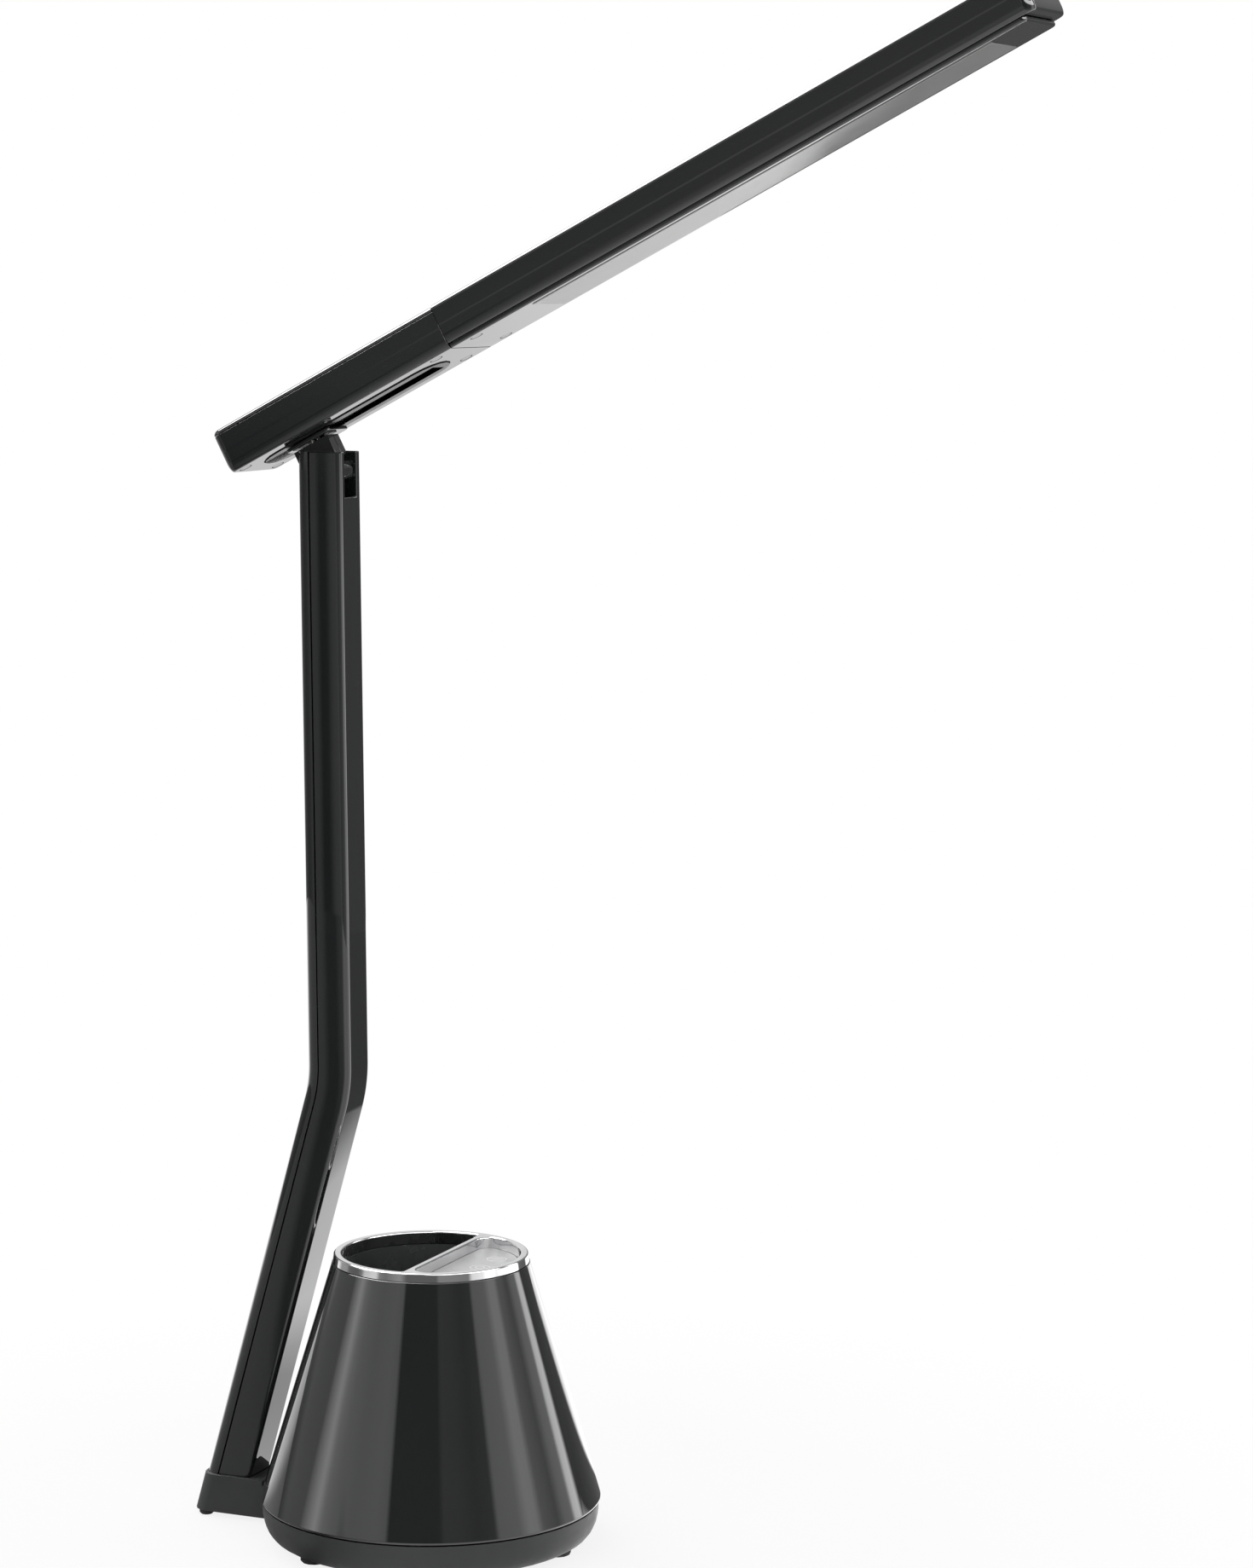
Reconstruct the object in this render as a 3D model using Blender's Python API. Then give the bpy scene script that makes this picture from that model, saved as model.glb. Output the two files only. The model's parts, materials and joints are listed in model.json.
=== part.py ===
"""LED desk lamp: a round base with a pen cup and a touch panel, a bent arm,
a tilting neck and a head that slides on the neck.

Lengths are in metres. The lamp stands on the plane z = 0 around the base's axis.
The head reaches along +X and the lamp's width lies along Y. The pieces of the neck
and of the head are drawn in the head's own frame: x along the head, y across it and
z square to its underside, with the hinge pin's axis at the origin.
"""
import math

import bmesh
import bpy
from mathutils import Matrix, Vector

# Clearances shared by all pieces
SEAT_GAP = 0.0003
CUT_OVERRUN = 0.004
SCREW_GAP = 0.0003

# Roundness
ROUND_SIDES = 60
INNER_SIDES = 40
SMALL_SIDES = 12
SCREW_SIDES = 8
CORNER_STEPS = 4
EDGE_STEPS = 3
BEND_STEPS = 6
WIRE_SIDES = 6
SHARP_ANGLE = math.radians(35)

# Base tray: a shallow bowl with the arm's socket behind it
BASE_RADIUS = 0.0600
TRAY_LIFT = 0.0020
TRAY_HEIGHT = 0.0125
TRAY_RIM_INSET = 0.0005
TRAY_FLARE = 0.0080
TRAY_WALL = 0.0020
BOWL_POWER = 0.85
BOWL_STEPS = 6

# Rubber feet
PAD_RADIUS = 0.0048
PAD_SEAT = 0.0006
PAD_EDGE = 0.0006
PAD_INSET = 0.0030
PAD_COUNT = 3
HEEL_PAD_RADIUS = 0.0026
HEEL_PAD_SPREAD = 0.0064
HEEL_PAD_INSET = 0.0015

# Cone shell
CONE_HEIGHT = 0.0853
CONE_TOP_RADIUS = 0.03485
CONE_WALL = 0.0022
CONE_LIP = 0.0012
CONE_LEDGE = 0.0010
CONE_LEDGE_DROP = 0.0066

# Screw towers that join the tray to the cone
TOWER_RADIUS = 0.0035
TOWER_SKIN = 0.0005
TOWER_HEIGHT = 0.0420
TOWER_COUNT = 3
TOWER_BORE = 0.0017
TOWER_BORE_DEPTH = 0.0160
BASE_SCREW_RADIUS = 0.0014
BASE_SCREW_LENGTH = 0.0140
BASE_SCREW_HEAD = 0.0027
BASE_SCREW_HEAD_HEIGHT = 0.0008

# Steel ballast plate
BALLAST_TOWER_GAP = 0.0005
BALLAST_THICKNESS = 0.0080
BALLAST_CHAMFER = 0.0010
BALLAST_POST_INSET = 0.0130
BALLAST_POST_RADIUS = 0.0035
BALLAST_POST_COUNT = 3
BALLAST_SCREW_RADIUS = 0.0012
BALLAST_SCREW_HEAD = 0.0045
BALLAST_SCREW_HEAD_HEIGHT = 0.0016

# Chrome bezel round the top, with its divider
BEZEL_HEIGHT = 0.0029
BEZEL_TOP_RADIUS = 0.0342
BEZEL_HOLE_RADIUS = 0.0314
BEZEL_EDGE = 0.0006
BEZEL_SLEEVE = 0.0014
DIVIDER_OFFSET = 0.0052
DIVIDER_WIDTH = 0.0024
PANEL_CORNER = 0.0046
CUP_CORNER = 0.0010
D_ARC_STEPS = 24

# Pen cup moulding, with the deck under the touch panel
CUP_DEPTH = 0.0800
CUP_WALL = 0.0012
CUP_LEDGE = 0.0004
CUP_DRAFT = 0.0015
CUP_FLOOR_ROUND = 0.0020
DECK_THICKNESS = 0.0015
DECK_RIM = 0.0012
PANEL_THICKNESS = 0.0016
PANEL_RECESS = 0.0039
TOUCH_BOARD_THICKNESS = 0.0012
TOUCH_PAD_RADIUS = 0.0040
TOUCH_PAD_SPACING = 0.0150
TOUCH_PAD_COUNT = 3

# Power board on the flat side of the cup
BOARD_WIDTH = 0.0400
BOARD_HEIGHT = 0.0360
BOARD_THICKNESS = 0.0016
BOARD_DROP = 0.0200
BOARD_BOSS_HEIGHT = 0.0022
BOARD_BOSS_RADIUS = 0.0030
BOARD_SCREW_RADIUS = 0.0011
BOARD_SCREW_HEAD = 0.0021
BOARD_SCREW_HEAD_HEIGHT = 0.0013
BOARD_EDGE = 0.0040
CHIP_THICKNESS = 0.0020
CHIP_WIDTH = 0.0070
COIL_THICKNESS = 0.0050
COIL_WIDTH = 0.0090
CAPACITOR_RADIUS = 0.0040
CAPACITOR_HEIGHT = 0.0100

# Power inlet in the far wall
INLET_HEIGHT = 0.0280
INLET_BARREL_RADIUS = 0.0040
INLET_BARREL_LENGTH = 0.0135
INLET_FLANGE_RADIUS = 0.0056
INLET_FLANGE_THICKNESS = 0.0012
INLET_BORE_RADIUS = 0.0028
INLET_BORE_DEPTH = 0.0095
INLET_PIN_RADIUS = 0.0010
INLET_PIN_SETBACK = 0.0010
INLET_BOSS_RADIUS = 0.0075
INLET_BOSS_DEPTH = 0.0050
INLET_NUT_RADIUS = 0.0062
INLET_NUT_THICKNESS = 0.0026

# Arm: a flat front face, rounded back corners and a knee
ARM_WIDTH = 0.0169
ARM_DEPTH = 0.0178
ARM_SPLIT = 0.0120
ARM_FRONT_CORNER = 0.0012
ARM_WALL = 0.0023
ARM_LEAN_LOW = math.radians(15.67)
ARM_LEAN_HIGH = math.radians(-0.87)
ARM_STANDOFF = 0.00852
ARM_TOP_CLEARANCE = 0.0040
KNEE_HEIGHT = 0.15934
KNEE_FRONT_RADIUS = 0.0610
ARM_TOP_HEIGHT = 0.3830
ARM_FOOT_SOLID = 0.0180
WIRE_BORE_RADIUS = 0.0020

# Socket behind the bowl that holds the arm's foot
SOCKET_HEIGHT = 0.0137
SOCKET_WALL = 0.0013
SOCKET_BACK_WALL = 0.0005
SOCKET_FLOOR = 0.0030
SOCKET_CORNER = 0.0062
SOCKET_CONE_GAP = 0.0030
SOCKET_STEP = 0.0006
SOCKET_EDGE = 0.0010
SOCKET_FIT = 0.0002
ARM_SCREW_RADIUS = 0.0013
ARM_SCREW_LENGTH = 0.0140
ARM_SCREW_HEAD = 0.0023
ARM_SCREW_HEAD_HEIGHT = 0.0010
ARM_SCREW_SPREAD = 0.0050

# Hinge between the arm's cheeks
PIVOT_DEPTH = 0.0048
PIVOT_DROP = 0.0067
PIN_RADIUS = 0.0015
PIN_BITE = 0.0020
CHEEK_WIDTH = 0.0040
CHEEK_HEIGHT = 0.0270
CHEEK_TAPER = 0.0030
NOTCH_DEPTH_FRONT = 0.0157
NOTCH_DEPTH_BACK = 0.0058
KEEPER_THICKNESS = 0.0013
SLEEVE_RADIUS = 0.0026
SLEEVE_GAP = 0.0003
TANG_LENGTH = 0.0034
TANG_WIDTH = 0.0016

# Neck: two half shells, drawn in the head's frame
HEAD_ANGLE = math.radians(27.76)
NECK_SIDE_GAP = 0.0003
NECK_NOSE_RADIUS = 0.0040
NECK_WAIST = math.radians(57)
NECK_FRONT = 0.0040
NECK_BACK = 0.0106
NECK_FRONT_LOW = 0.0050
NECK_BACK_LOW = 0.0076
NECK_TOP = 0.0121
NECK_CORNER = 0.0010
NECK_HALF_GAP = 0.0003

# Carriage, shoe and screws that ride in the head's slot
CARRIAGE_PLATE = 0.0013
CARRIAGE_OVERLAP = 0.0009
CARRIAGE_FRONT = 0.0071
CARRIAGE_HALF_WIDTH = 0.0078
CARRIAGE_CORNER = 0.0016
STEM_SIDE_GAP = 0.0004
STEM_SETBACK = 0.0011
SHOE_THICKNESS = 0.0018
SHOE_OVERLAP = 0.0033
CARRIAGE_SCREW_RADIUS = 0.0008
CARRIAGE_SCREW_HEAD = 0.0014
CARRIAGE_SCREW_HEAD_HEIGHT = 0.0011
CARRIAGE_SCREW_SPREAD = 0.0022
CARRIAGE_SCREW_BITE = 0.0040
CARRIAGE_WIRE_RADIUS = 0.0014

# Head, rear section
HEAD_UNDERSIDE = 0.01445
HEAD_BACK = -0.03045
HEAD_SEAM = 0.06520
HEAD_TIP = 0.29715
REAR_HALF_WIDTH = 0.0175
REAR_THICKNESS = 0.0157
HEAD_WALL = 0.0018
REAR_END_ROUND = 0.0034
REAR_END_LOW_ROUND = 0.0012
HEAD_TOP_ROUND = 0.0030
HEAD_LOW_ROUND = 0.0022
LID_THICKNESS = 0.0017
LID_RIB = 0.0010
LID_RIB_DEPTH = 0.0022

# Slide track let into the rear section's underside
TRACK_FRONT = 0.0547
TRACK_BACK = -0.0231
TRACK_HALF_WIDTH = 0.0092
TRACK_PROUD = 0.00035
TRACK_FLANGE = 0.0018
TRACK_FLANGE_THICKNESS = 0.0012
SLOT_FRONT = 0.0510
SLOT_BACK = -0.0216
SLOT_HALF_WIDTH = 0.0047

# Head, front section
FRONT_HALF_WIDTH = 0.0178
FRONT_RISE = 0.0003
FRONT_TIP_ROUND = 0.0036
FRONT_LOW_ROUND = 0.0010
TIP_LEDGE = 0.0026
LOWER_PLATE = 0.0015
LOWER_INSET = 0.0014
LOWER_TIP_INSET = 0.0045
LOWER_EDGE = 0.0008
LOWER_CORNER = 0.0018
LOWER_RIM = 0.0012
LOWER_RIM_HEIGHT = 0.0026

# Light parts
WINDOW_BACK = 0.0975
WINDOW_FRONT = 0.27865
WINDOW_HALF_WIDTH = 0.0134
DIFFUSER_PROUD = 0.0003
DIFFUSER_FLANGE = 0.0009
DIFFUSER_FLANGE_THICKNESS = 0.0010
LED_BOARD_THICKNESS = 0.0012
LED_BOARD_HALF_WIDTH = 0.0115
LED_LENGTH = 0.0035
LED_WIDTH = 0.0028
LED_THICKNESS = 0.0006
LED_COLUMNS = 14
LED_ROW_OFFSET = 0.0060
LIGHT_BOX_WALL = 0.0008

# Head screws, their plugs and the coupler across the seam
PLUG_RADIUS = 0.0020
PLUG_THICKNESS = 0.0010
PLUG_SINK = 0.0003
HEAD_SCREW_RADIUS = 0.0009
HEAD_SCREW_HEAD = 0.0018
HEAD_SCREW_HEAD_HEIGHT = 0.0011
HEAD_SCREW_BITE = 0.0028
HEAD_BOSS_RADIUS = 0.0032
HEAD_BOSS_HEIGHT = 0.0047
HEAD_SCREW_SPREAD = 0.0120
END_SCREW_INSET = 0.00445
SEAM_SCREW_INSET = 0.0085
COUPLER_THICKNESS = 0.0026
COUPLER_REACH = 0.0121
COUPLER_WALL = 0.0012
COUPLER_HEIGHT = 0.0080
LID_POST_RADIUS = 0.0026

# Wires inside the arm and the head
WIRE_RADIUS = 0.0012
WIRE_CLEAR = 0.0004
WIRE_STEPS = 2
WIRE_STOPS = 12

# Places worked out from the sizes above
TRAY_TOP = TRAY_LIFT + TRAY_HEIGHT
TRAY_RIM_RADIUS = BASE_RADIUS - TRAY_RIM_INSET
TRAY_FLOOR_RADIUS = BASE_RADIUS - TRAY_FLARE
PAD_CIRCLE = TRAY_FLOOR_RADIUS - PAD_INSET
CONE_BOTTOM = TRAY_TOP + SEAT_GAP
CONE_TOP = CONE_BOTTOM + CONE_HEIGHT
CONE_SLOPE = (BASE_RADIUS - CONE_TOP_RADIUS) / (CONE_HEIGHT - CONE_LIP)
TOWER_BOTTOM = TRAY_LIFT + TRAY_WALL + SEAT_GAP
TOWER_TOP = TOWER_BOTTOM + TOWER_HEIGHT
TOWER_OUTSIDE = BASE_RADIUS - (TOWER_TOP - CONE_BOTTOM - CONE_LIP) * CONE_SLOPE
TOWER_CIRCLE = TOWER_OUTSIDE - TOWER_SKIN - TOWER_RADIUS
BALLAST_RADIUS = TOWER_CIRCLE - TOWER_RADIUS - BALLAST_TOWER_GAP
BALLAST_POST_CIRCLE = BALLAST_RADIUS - BALLAST_POST_INSET
BEZEL_BOTTOM = CONE_TOP + SEAT_GAP
BEZEL_TOP = BEZEL_BOTTOM + BEZEL_HEIGHT
CONE_NECK_RADIUS = CONE_TOP_RADIUS - CONE_WALL
SLEEVE_OUTER = CONE_NECK_RADIUS - SEAT_GAP
SLEEVE_BOTTOM = BEZEL_BOTTOM - BEZEL_SLEEVE
CUP_TOP = SLEEVE_BOTTOM - SEAT_GAP
LEDGE_TOP = CONE_TOP - CONE_LEDGE_DROP
CUP_SEAT = LEDGE_TOP + SEAT_GAP
CUP_HOLE_FLAT = DIVIDER_OFFSET - DIVIDER_WIDTH / 2
PANEL_FLAT = DIVIDER_OFFSET + DIVIDER_WIDTH / 2
PANEL_TOP = BEZEL_TOP - PANEL_RECESS
PANEL_BOTTOM = PANEL_TOP - PANEL_THICKNESS
CUP_INNER_RADIUS = BEZEL_HOLE_RADIUS - CUP_LEDGE
CUP_INNER_FLAT = CUP_HOLE_FLAT - CUP_LEDGE
CUP_OUTER_FLAT = CUP_INNER_FLAT + CUP_WALL
CUP_FLOOR = BEZEL_TOP - CUP_DEPTH
DECK_TOP = CUP_SEAT + DECK_THICKNESS
ARM_REACH_BY_FOOT = BASE_RADIUS + ARM_STANDOFF
ARM_REACH_BY_TOP = (CONE_TOP_RADIUS + ARM_TOP_CLEARANCE
                    + (BEZEL_TOP - TRAY_TOP) * math.tan(ARM_LEAN_LOW))
ARM_REACH = max(ARM_REACH_BY_FOOT, ARM_REACH_BY_TOP)
KNEE_X = (KNEE_HEIGHT - TRAY_TOP) * math.tan(ARM_LEAN_LOW) - ARM_REACH
ARM_BOTTOM = TRAY_LIFT + SOCKET_FLOOR + SEAT_GAP
SOCKET_TOP = TRAY_LIFT + SOCKET_HEIGHT
PIVOT_HEIGHT = ARM_TOP_HEIGHT - PIVOT_DROP
PIVOT_X = KNEE_X + (PIVOT_HEIGHT - KNEE_HEIGHT) * math.tan(ARM_LEAN_HIGH) - PIVOT_DEPTH
NOTCH_HALF_WIDTH = ARM_WIDTH / 2 - CHEEK_WIDTH
NECK_HALF_WIDTH = NOTCH_HALF_WIDTH - NECK_SIDE_GAP
TRACK_FACE = HEAD_UNDERSIDE - TRACK_PROUD
CARRIAGE_TOP = TRACK_FACE - SEAT_GAP
CARRIAGE_BOTTOM = CARRIAGE_TOP - CARRIAGE_PLATE
REAR_FLOOR = HEAD_UNDERSIDE + HEAD_WALL
TRACK_SEAT = REAR_FLOOR + SEAT_GAP
TRACK_TOP = TRACK_SEAT + TRACK_FLANGE_THICKNESS
SHOE_BOTTOM = TRACK_TOP + SEAT_GAP
SHOE_TOP = SHOE_BOTTOM + SHOE_THICKNESS
STEM_TOP = SHOE_BOTTOM - SEAT_GAP
STEM_FRONT = CARRIAGE_FRONT - STEM_SETBACK
STEM_BACK = STEM_SETBACK - NECK_BACK
REAR_TOP = HEAD_UNDERSIDE + REAR_THICKNESS
LID_BOTTOM = REAR_TOP - LID_THICKNESS
FRONT_TOP = REAR_TOP + FRONT_RISE
FRONT_ROOF = FRONT_TOP - HEAD_WALL
LOWER_TOP = HEAD_UNDERSIDE + LOWER_PLATE
FRONT_BOTTOM = LOWER_TOP + SEAT_GAP
LOWER_TIP = HEAD_TIP - LOWER_TIP_INSET
BOSS_TOP = HEAD_UNDERSIDE + HEAD_BOSS_HEIGHT
POST_BOTTOM = BOSS_TOP + SEAT_GAP
HEAD_SCREW_SEAT = HEAD_UNDERSIDE + PLUG_SINK + PLUG_THICKNESS + SEAT_GAP
HEAD_SCREW_SHOULDER = HEAD_SCREW_SEAT + HEAD_SCREW_HEAD_HEIGHT
COUPLER_TOP = POST_BOTTOM + COUPLER_THICKNESS
DIFFUSER_SEAT = LOWER_TOP + SEAT_GAP
DIFFUSER_TOP = DIFFUSER_SEAT + DIFFUSER_FLANGE_THICKNESS
LED_BOARD_TOP = FRONT_ROOF - SEAT_GAP
LED_BOARD_BOTTOM = LED_BOARD_TOP - LED_BOARD_THICKNESS
END_SCREW_X = HEAD_BACK + END_SCREW_INSET
REAR_SEAM_SCREW_X = HEAD_SEAM - SEAM_SCREW_INSET
FRONT_SEAM_SCREW_X = HEAD_SEAM + SEAM_SCREW_INSET
INLET_RISE = INLET_HEIGHT + INLET_FLANGE_RADIUS - CONE_BOTTOM - CONE_LIP
INLET_SEAT = BASE_RADIUS - INLET_RISE * CONE_SLOPE - INLET_FLANGE_THICKNESS / 2


def clear_scene():
    for obj in list(bpy.data.objects):
        bpy.data.objects.remove(obj, do_unlink=True)


def finish_material(name, colour, roughness, metallic=0.0, transmission=0.0):
    """Plain surface with the colour, roughness and metallic value of one sub-part."""
    material = bpy.data.materials.new(name)
    material.use_nodes = True
    shader = material.node_tree.nodes["Principled BSDF"]
    shader.inputs["Base Color"].default_value = (*colour, 1.0)
    shader.inputs["Roughness"].default_value = roughness
    shader.inputs["Metallic"].default_value = metallic
    shader.inputs["Transmission Weight"].default_value = transmission
    return material


def frame_empty(name, place, angle=0.0, parent=None):
    """Empty on a joint's axis, turned about Y so that its x runs up the head."""
    empty = bpy.data.objects.new(name, None)
    bpy.context.scene.collection.objects.link(empty)
    empty.location = place
    empty.rotation_euler = (0.0, -angle, 0.0)
    empty.parent = parent
    return empty


def node(name, shape, material, parent=None):
    """Named sub-part from a bmesh, shaded smooth with its sharp edges kept."""
    bmesh.ops.recalc_face_normals(shape, faces=shape.faces)
    mesh = bpy.data.meshes.new(name)
    shape.to_mesh(mesh)
    shape.free()
    mesh.materials.append(material)
    obj = bpy.data.objects.new(name, mesh)
    bpy.context.scene.collection.objects.link(obj)
    soften(mesh)
    obj.parent = parent
    return obj


def copies(name, shape, material, places, parent=None):
    """One numbered sub-part for each place, all with the same mesh."""
    first = node(name + "_1", shape, material, parent)
    first.location = places[0]
    for number, place in enumerate(places[1:], 2):
        obj = bpy.data.objects.new(f"{name}_{number}", first.data)
        bpy.context.scene.collection.objects.link(obj)
        obj.location = place
        obj.parent = parent


def soften(mesh):
    mesh.shade_smooth()
    mesh.set_sharp_from_angle(angle=SHARP_ANGLE)


def combine(obj, shape, operation):
    """Cut a shape from a sub-part, or join it on, in the sub-part's own frame."""
    bmesh.ops.recalc_face_normals(shape, faces=shape.faces)
    mesh = bpy.data.meshes.new("tool")
    shape.to_mesh(mesh)
    shape.free()
    tool = bpy.data.objects.new("tool", mesh)
    bpy.context.scene.collection.objects.link(tool)
    parent = obj.parent
    obj.parent = None
    change = obj.modifiers.new("change", "BOOLEAN")
    change.operation = operation
    change.solver = "EXACT"
    change.object = tool
    graph = bpy.context.evaluated_depsgraph_get()
    result = bpy.data.meshes.new_from_object(obj.evaluated_get(graph))
    obj.modifiers.remove(change)
    result.name = obj.name
    obj.data = result
    obj.parent = parent
    soften(result)
    bpy.data.objects.remove(tool, do_unlink=True)


def cut(obj, *shapes):
    for shape in shapes:
        combine(obj, shape, "DIFFERENCE")


def join(obj, *shapes):
    for shape in shapes:
        combine(obj, shape, "UNION")


def gather(shapes):
    """One bmesh that holds several separate closed bodies."""
    whole = bmesh.new()
    for shape in shapes:
        mesh = bpy.data.meshes.new("piece")
        shape.to_mesh(mesh)
        shape.free()
        whole.from_mesh(mesh)
        bpy.data.meshes.remove(mesh)
    return whole


def moved(shape, x=0.0, y=0.0, z=0.0):
    bmesh.ops.translate(shape, verts=shape.verts, vec=(x, y, z))
    return shape


def rods(places, radius, low, high, sides=SMALL_SIDES, along="Z"):
    """One rod at each place, as one shape."""
    return gather([moved(rod(radius, low, high, sides, along), *place) for place in places])


def turned(shape, angle, axis):
    turn = Matrix.Rotation(angle, 3, axis)
    bmesh.ops.rotate(shape, verts=shape.verts, cent=(0.0, 0.0, 0.0), matrix=turn)
    return shape


def around(count, radius, start=0.0):
    """Evenly spaced places on a circle about the base's axis."""
    angles = [start + math.tau * i / count for i in range(count)]
    return [(radius * math.cos(a), radius * math.sin(a), 0.0) for a in angles]


def loft(loops, ring=False):
    """Body through loops of as many points each: flat at its ends, or a ring."""
    shape = bmesh.new()
    rows = [[shape.verts.new(point) for point in loop] for loop in loops]
    count = len(rows[0])
    for row, after in zip(rows, rows[1:] + rows[:1] if ring else rows[1:]):
        for i in range(count):
            j = (i + 1) % count
            shape.faces.new((row[i], row[j], after[j], after[i]))
    if not ring:
        shape.faces.new(reversed(rows[0]))
        shape.faces.new(rows[-1])
    return shape


def prism(outline, low, high, along="Z"):
    """Body of one outline between two planes across Z, Y or X."""
    place = {
        "Z": lambda a, b, h: (a, b, h),
        "Y": lambda a, b, h: (a, h, b),
        "X": lambda a, b, h: (h, a, b),
    }[along]
    return loft([[place(a, b, h) for a, b in outline] for h in (low, high)])


def box(x_span, y_span, z_span):
    x0, x1 = x_span
    y0, y1 = y_span
    return prism([(x0, y0), (x1, y0), (x1, y1), (x0, y1)], *z_span)


def lathe(profile, sides=ROUND_SIDES):
    """Body turned about Z: a solid if its outline starts and ends on the axis."""
    solid = not profile[0][0]
    rows = profile[1:-1] if solid else profile
    angles = [math.tau * i / sides for i in range(sides)]
    loops = [[(radius * math.cos(a), radius * math.sin(a), height) for a in angles]
             for radius, height in rows]
    return loft(loops, ring=not solid)


def rod(radius, low, high, sides=SMALL_SIDES, along="Z"):
    """Round bar between two heights, or lying along Y or X."""
    shape = lathe([(0.0, low), (radius, low), (radius, high), (0.0, high)], sides)
    if along == "Y":
        turned(shape, math.radians(-90), "X")
    if along == "X":
        turned(shape, math.radians(90), "Y")
    return shape


def screw(radius, tip, shoulder, head_radius, head_height, up=1.0):
    """Pan head screw along Z: the shank runs from the shoulder to the tip."""
    crown = shoulder - up * head_height
    profile = [(0.0, tip), (radius, tip), (radius, shoulder), (head_radius, shoulder),
               (head_radius, crown), (0.0, crown)]
    return lathe(profile, SCREW_SIDES)


def arc(centre, radius, start, end, steps):
    """Points on a round stretch, both ends included."""
    angles = [start + (end - start) * i / steps for i in range(steps + 1)]
    return [(centre[0] + radius * math.cos(a), centre[1] + radius * math.sin(a))
            for a in angles]


def rounded(corners):
    """Outline through corners of x, y and the radius that turns each one."""
    outline = []
    count = len(corners)
    for i, (x, y, radius) in enumerate(corners):
        here = Vector((x, y))
        if not radius:
            outline.append((x, y))
            continue
        back = (Vector(corners[i - 1][:2]) - here).normalized()
        ahead = (Vector(corners[(i + 1) % count][:2]) - here).normalized()
        half = math.acos(max(-1.0, min(1.0, back.dot(ahead)))) / 2
        centre = here + (back + ahead).normalized() * (radius / math.sin(half))
        reach = radius / math.tan(half)
        first = here + back * reach - centre
        last = here + ahead * reach - centre
        start = math.atan2(first.y, first.x)
        turn = math.atan2(last.y, last.x) - start
        turn = (turn + math.pi) % math.tau - math.pi
        outline += arc(centre, radius, start, start + turn, CORNER_STEPS)
    return outline


def slab_outline(x0, x1, half, back_round, front_round):
    """Rectangle along x with its own corner radius at each end."""
    return rounded([
        (x0, -half, back_round), (x1, -half, front_round),
        (x1, half, front_round), (x0, half, back_round),
    ])


def pillow(x_span, half, z_span, back_round, front_round, low_round, high_round,
           low_end=None):
    """Flat casing with turned edges; low_end is the lower radius of its two ends."""
    x0, x1 = x_span
    low, high = z_span
    low_end = low_round if low_end is None else low_end
    levels = []
    for i in range(EDGE_STEPS + 1):
        angle = math.radians(90) * i / EDGE_STEPS
        turn_in = 1 - math.sin(angle)
        levels.append((low + low_round * (1 - math.cos(angle)), low_round * turn_in,
                       low_end * turn_in))
    for i in range(EDGE_STEPS + 1):
        angle = math.radians(90) * (EDGE_STEPS - i) / EDGE_STEPS
        inset = high_round * (1 - math.sin(angle))
        levels.append((high - high_round * (1 - math.cos(angle)), inset, inset))
    loops = []
    for height, inset, end_inset in levels:
        outline = slab_outline(x0 + end_inset, x1 - end_inset, half - inset,
                               back_round - inset, front_round - inset)
        loops.append([(x, y, height) for x, y in outline])
    return loft(loops)


def stadium(x0, x1, half):
    """Outline with straight sides and half round ends."""
    steps = 2 * CORNER_STEPS
    quarter = math.radians(90)
    front = arc((x1 - half, 0.0), half, -quarter, quarter, steps)
    back = arc((x0 + half, 0.0), half, quarter, 3 * quarter, steps)
    return front + back


def d_outline(radius, flat, corner, side=1.0):
    """Part of a circle past a flat, with turned corners; side -1 is its mirror."""
    mid_x = flat + corner
    mid_y = math.sqrt((radius - corner) ** 2 - mid_x ** 2)
    swing = math.atan2(mid_y, mid_x)
    half_turn = math.radians(180)
    points = arc((0.0, 0.0), radius, -swing, swing, D_ARC_STEPS)
    points += arc((mid_x, mid_y), corner, swing, half_turn, CORNER_STEPS)[1:]
    points += arc((mid_x, -mid_y), corner, -half_turn, -swing, CORNER_STEPS)[:-1]
    return [(side * x, y) for x, y in points]


def flared_d(radius, flat, corner, low, high, edge, side=1.0):
    """Cutter of a D shape that turns the upper edge of the hole it leaves."""
    levels = [(low, 0.0), (high - edge, 0.0)]
    for i in range(1, EDGE_STEPS + 1):
        angle = math.radians(90) * i / EDGE_STEPS
        levels.append((high - edge * (1 - math.sin(angle)), edge * (1 - math.cos(angle))))
    levels.append((high + CUT_OVERRUN, edge))
    loops = []
    for height, grow in levels:
        outline = d_outline(radius + grow, flat - grow, corner + grow, side)
        loops.append([(x, y, height) for x, y in outline])
    return loft(loops)


def smooth_route(points):
    """Smooth curve through a route's own points."""
    spots = [Vector(p) for p in points]
    ends = [2 * spots[0] - spots[1]] + spots + [2 * spots[-1] - spots[-2]]
    route = []
    for a, b, c, d in zip(ends, ends[1:], ends[2:], ends[3:]):
        for i in range(WIRE_STEPS):
            t = i / WIRE_STEPS
            route.append(0.5 * (2 * b + (c - a) * t + (2 * a - 5 * b + 4 * c - d) * t ** 2
                                + (3 * b - a - 3 * c + d) * t ** 3))
    return route + [spots[-1]]


def wire(points, radius):
    """Round wire along a smooth route that stays in one upright plane."""
    route = smooth_route(points)
    loops = []
    for i, spot in enumerate(route):
        ahead = (route[min(i + 1, len(route) - 1)] - route[max(i - 1, 0)]).normalized()
        side = Vector((0.0, 1.0, 0.0))
        up = ahead.cross(side)
        loops.append([
            spot + radius * (math.cos(a) * side + math.sin(a) * up)
            for a in (math.tau * k / WIRE_SIDES for k in range(WIRE_SIDES))
        ])
    return loft(loops)


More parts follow.
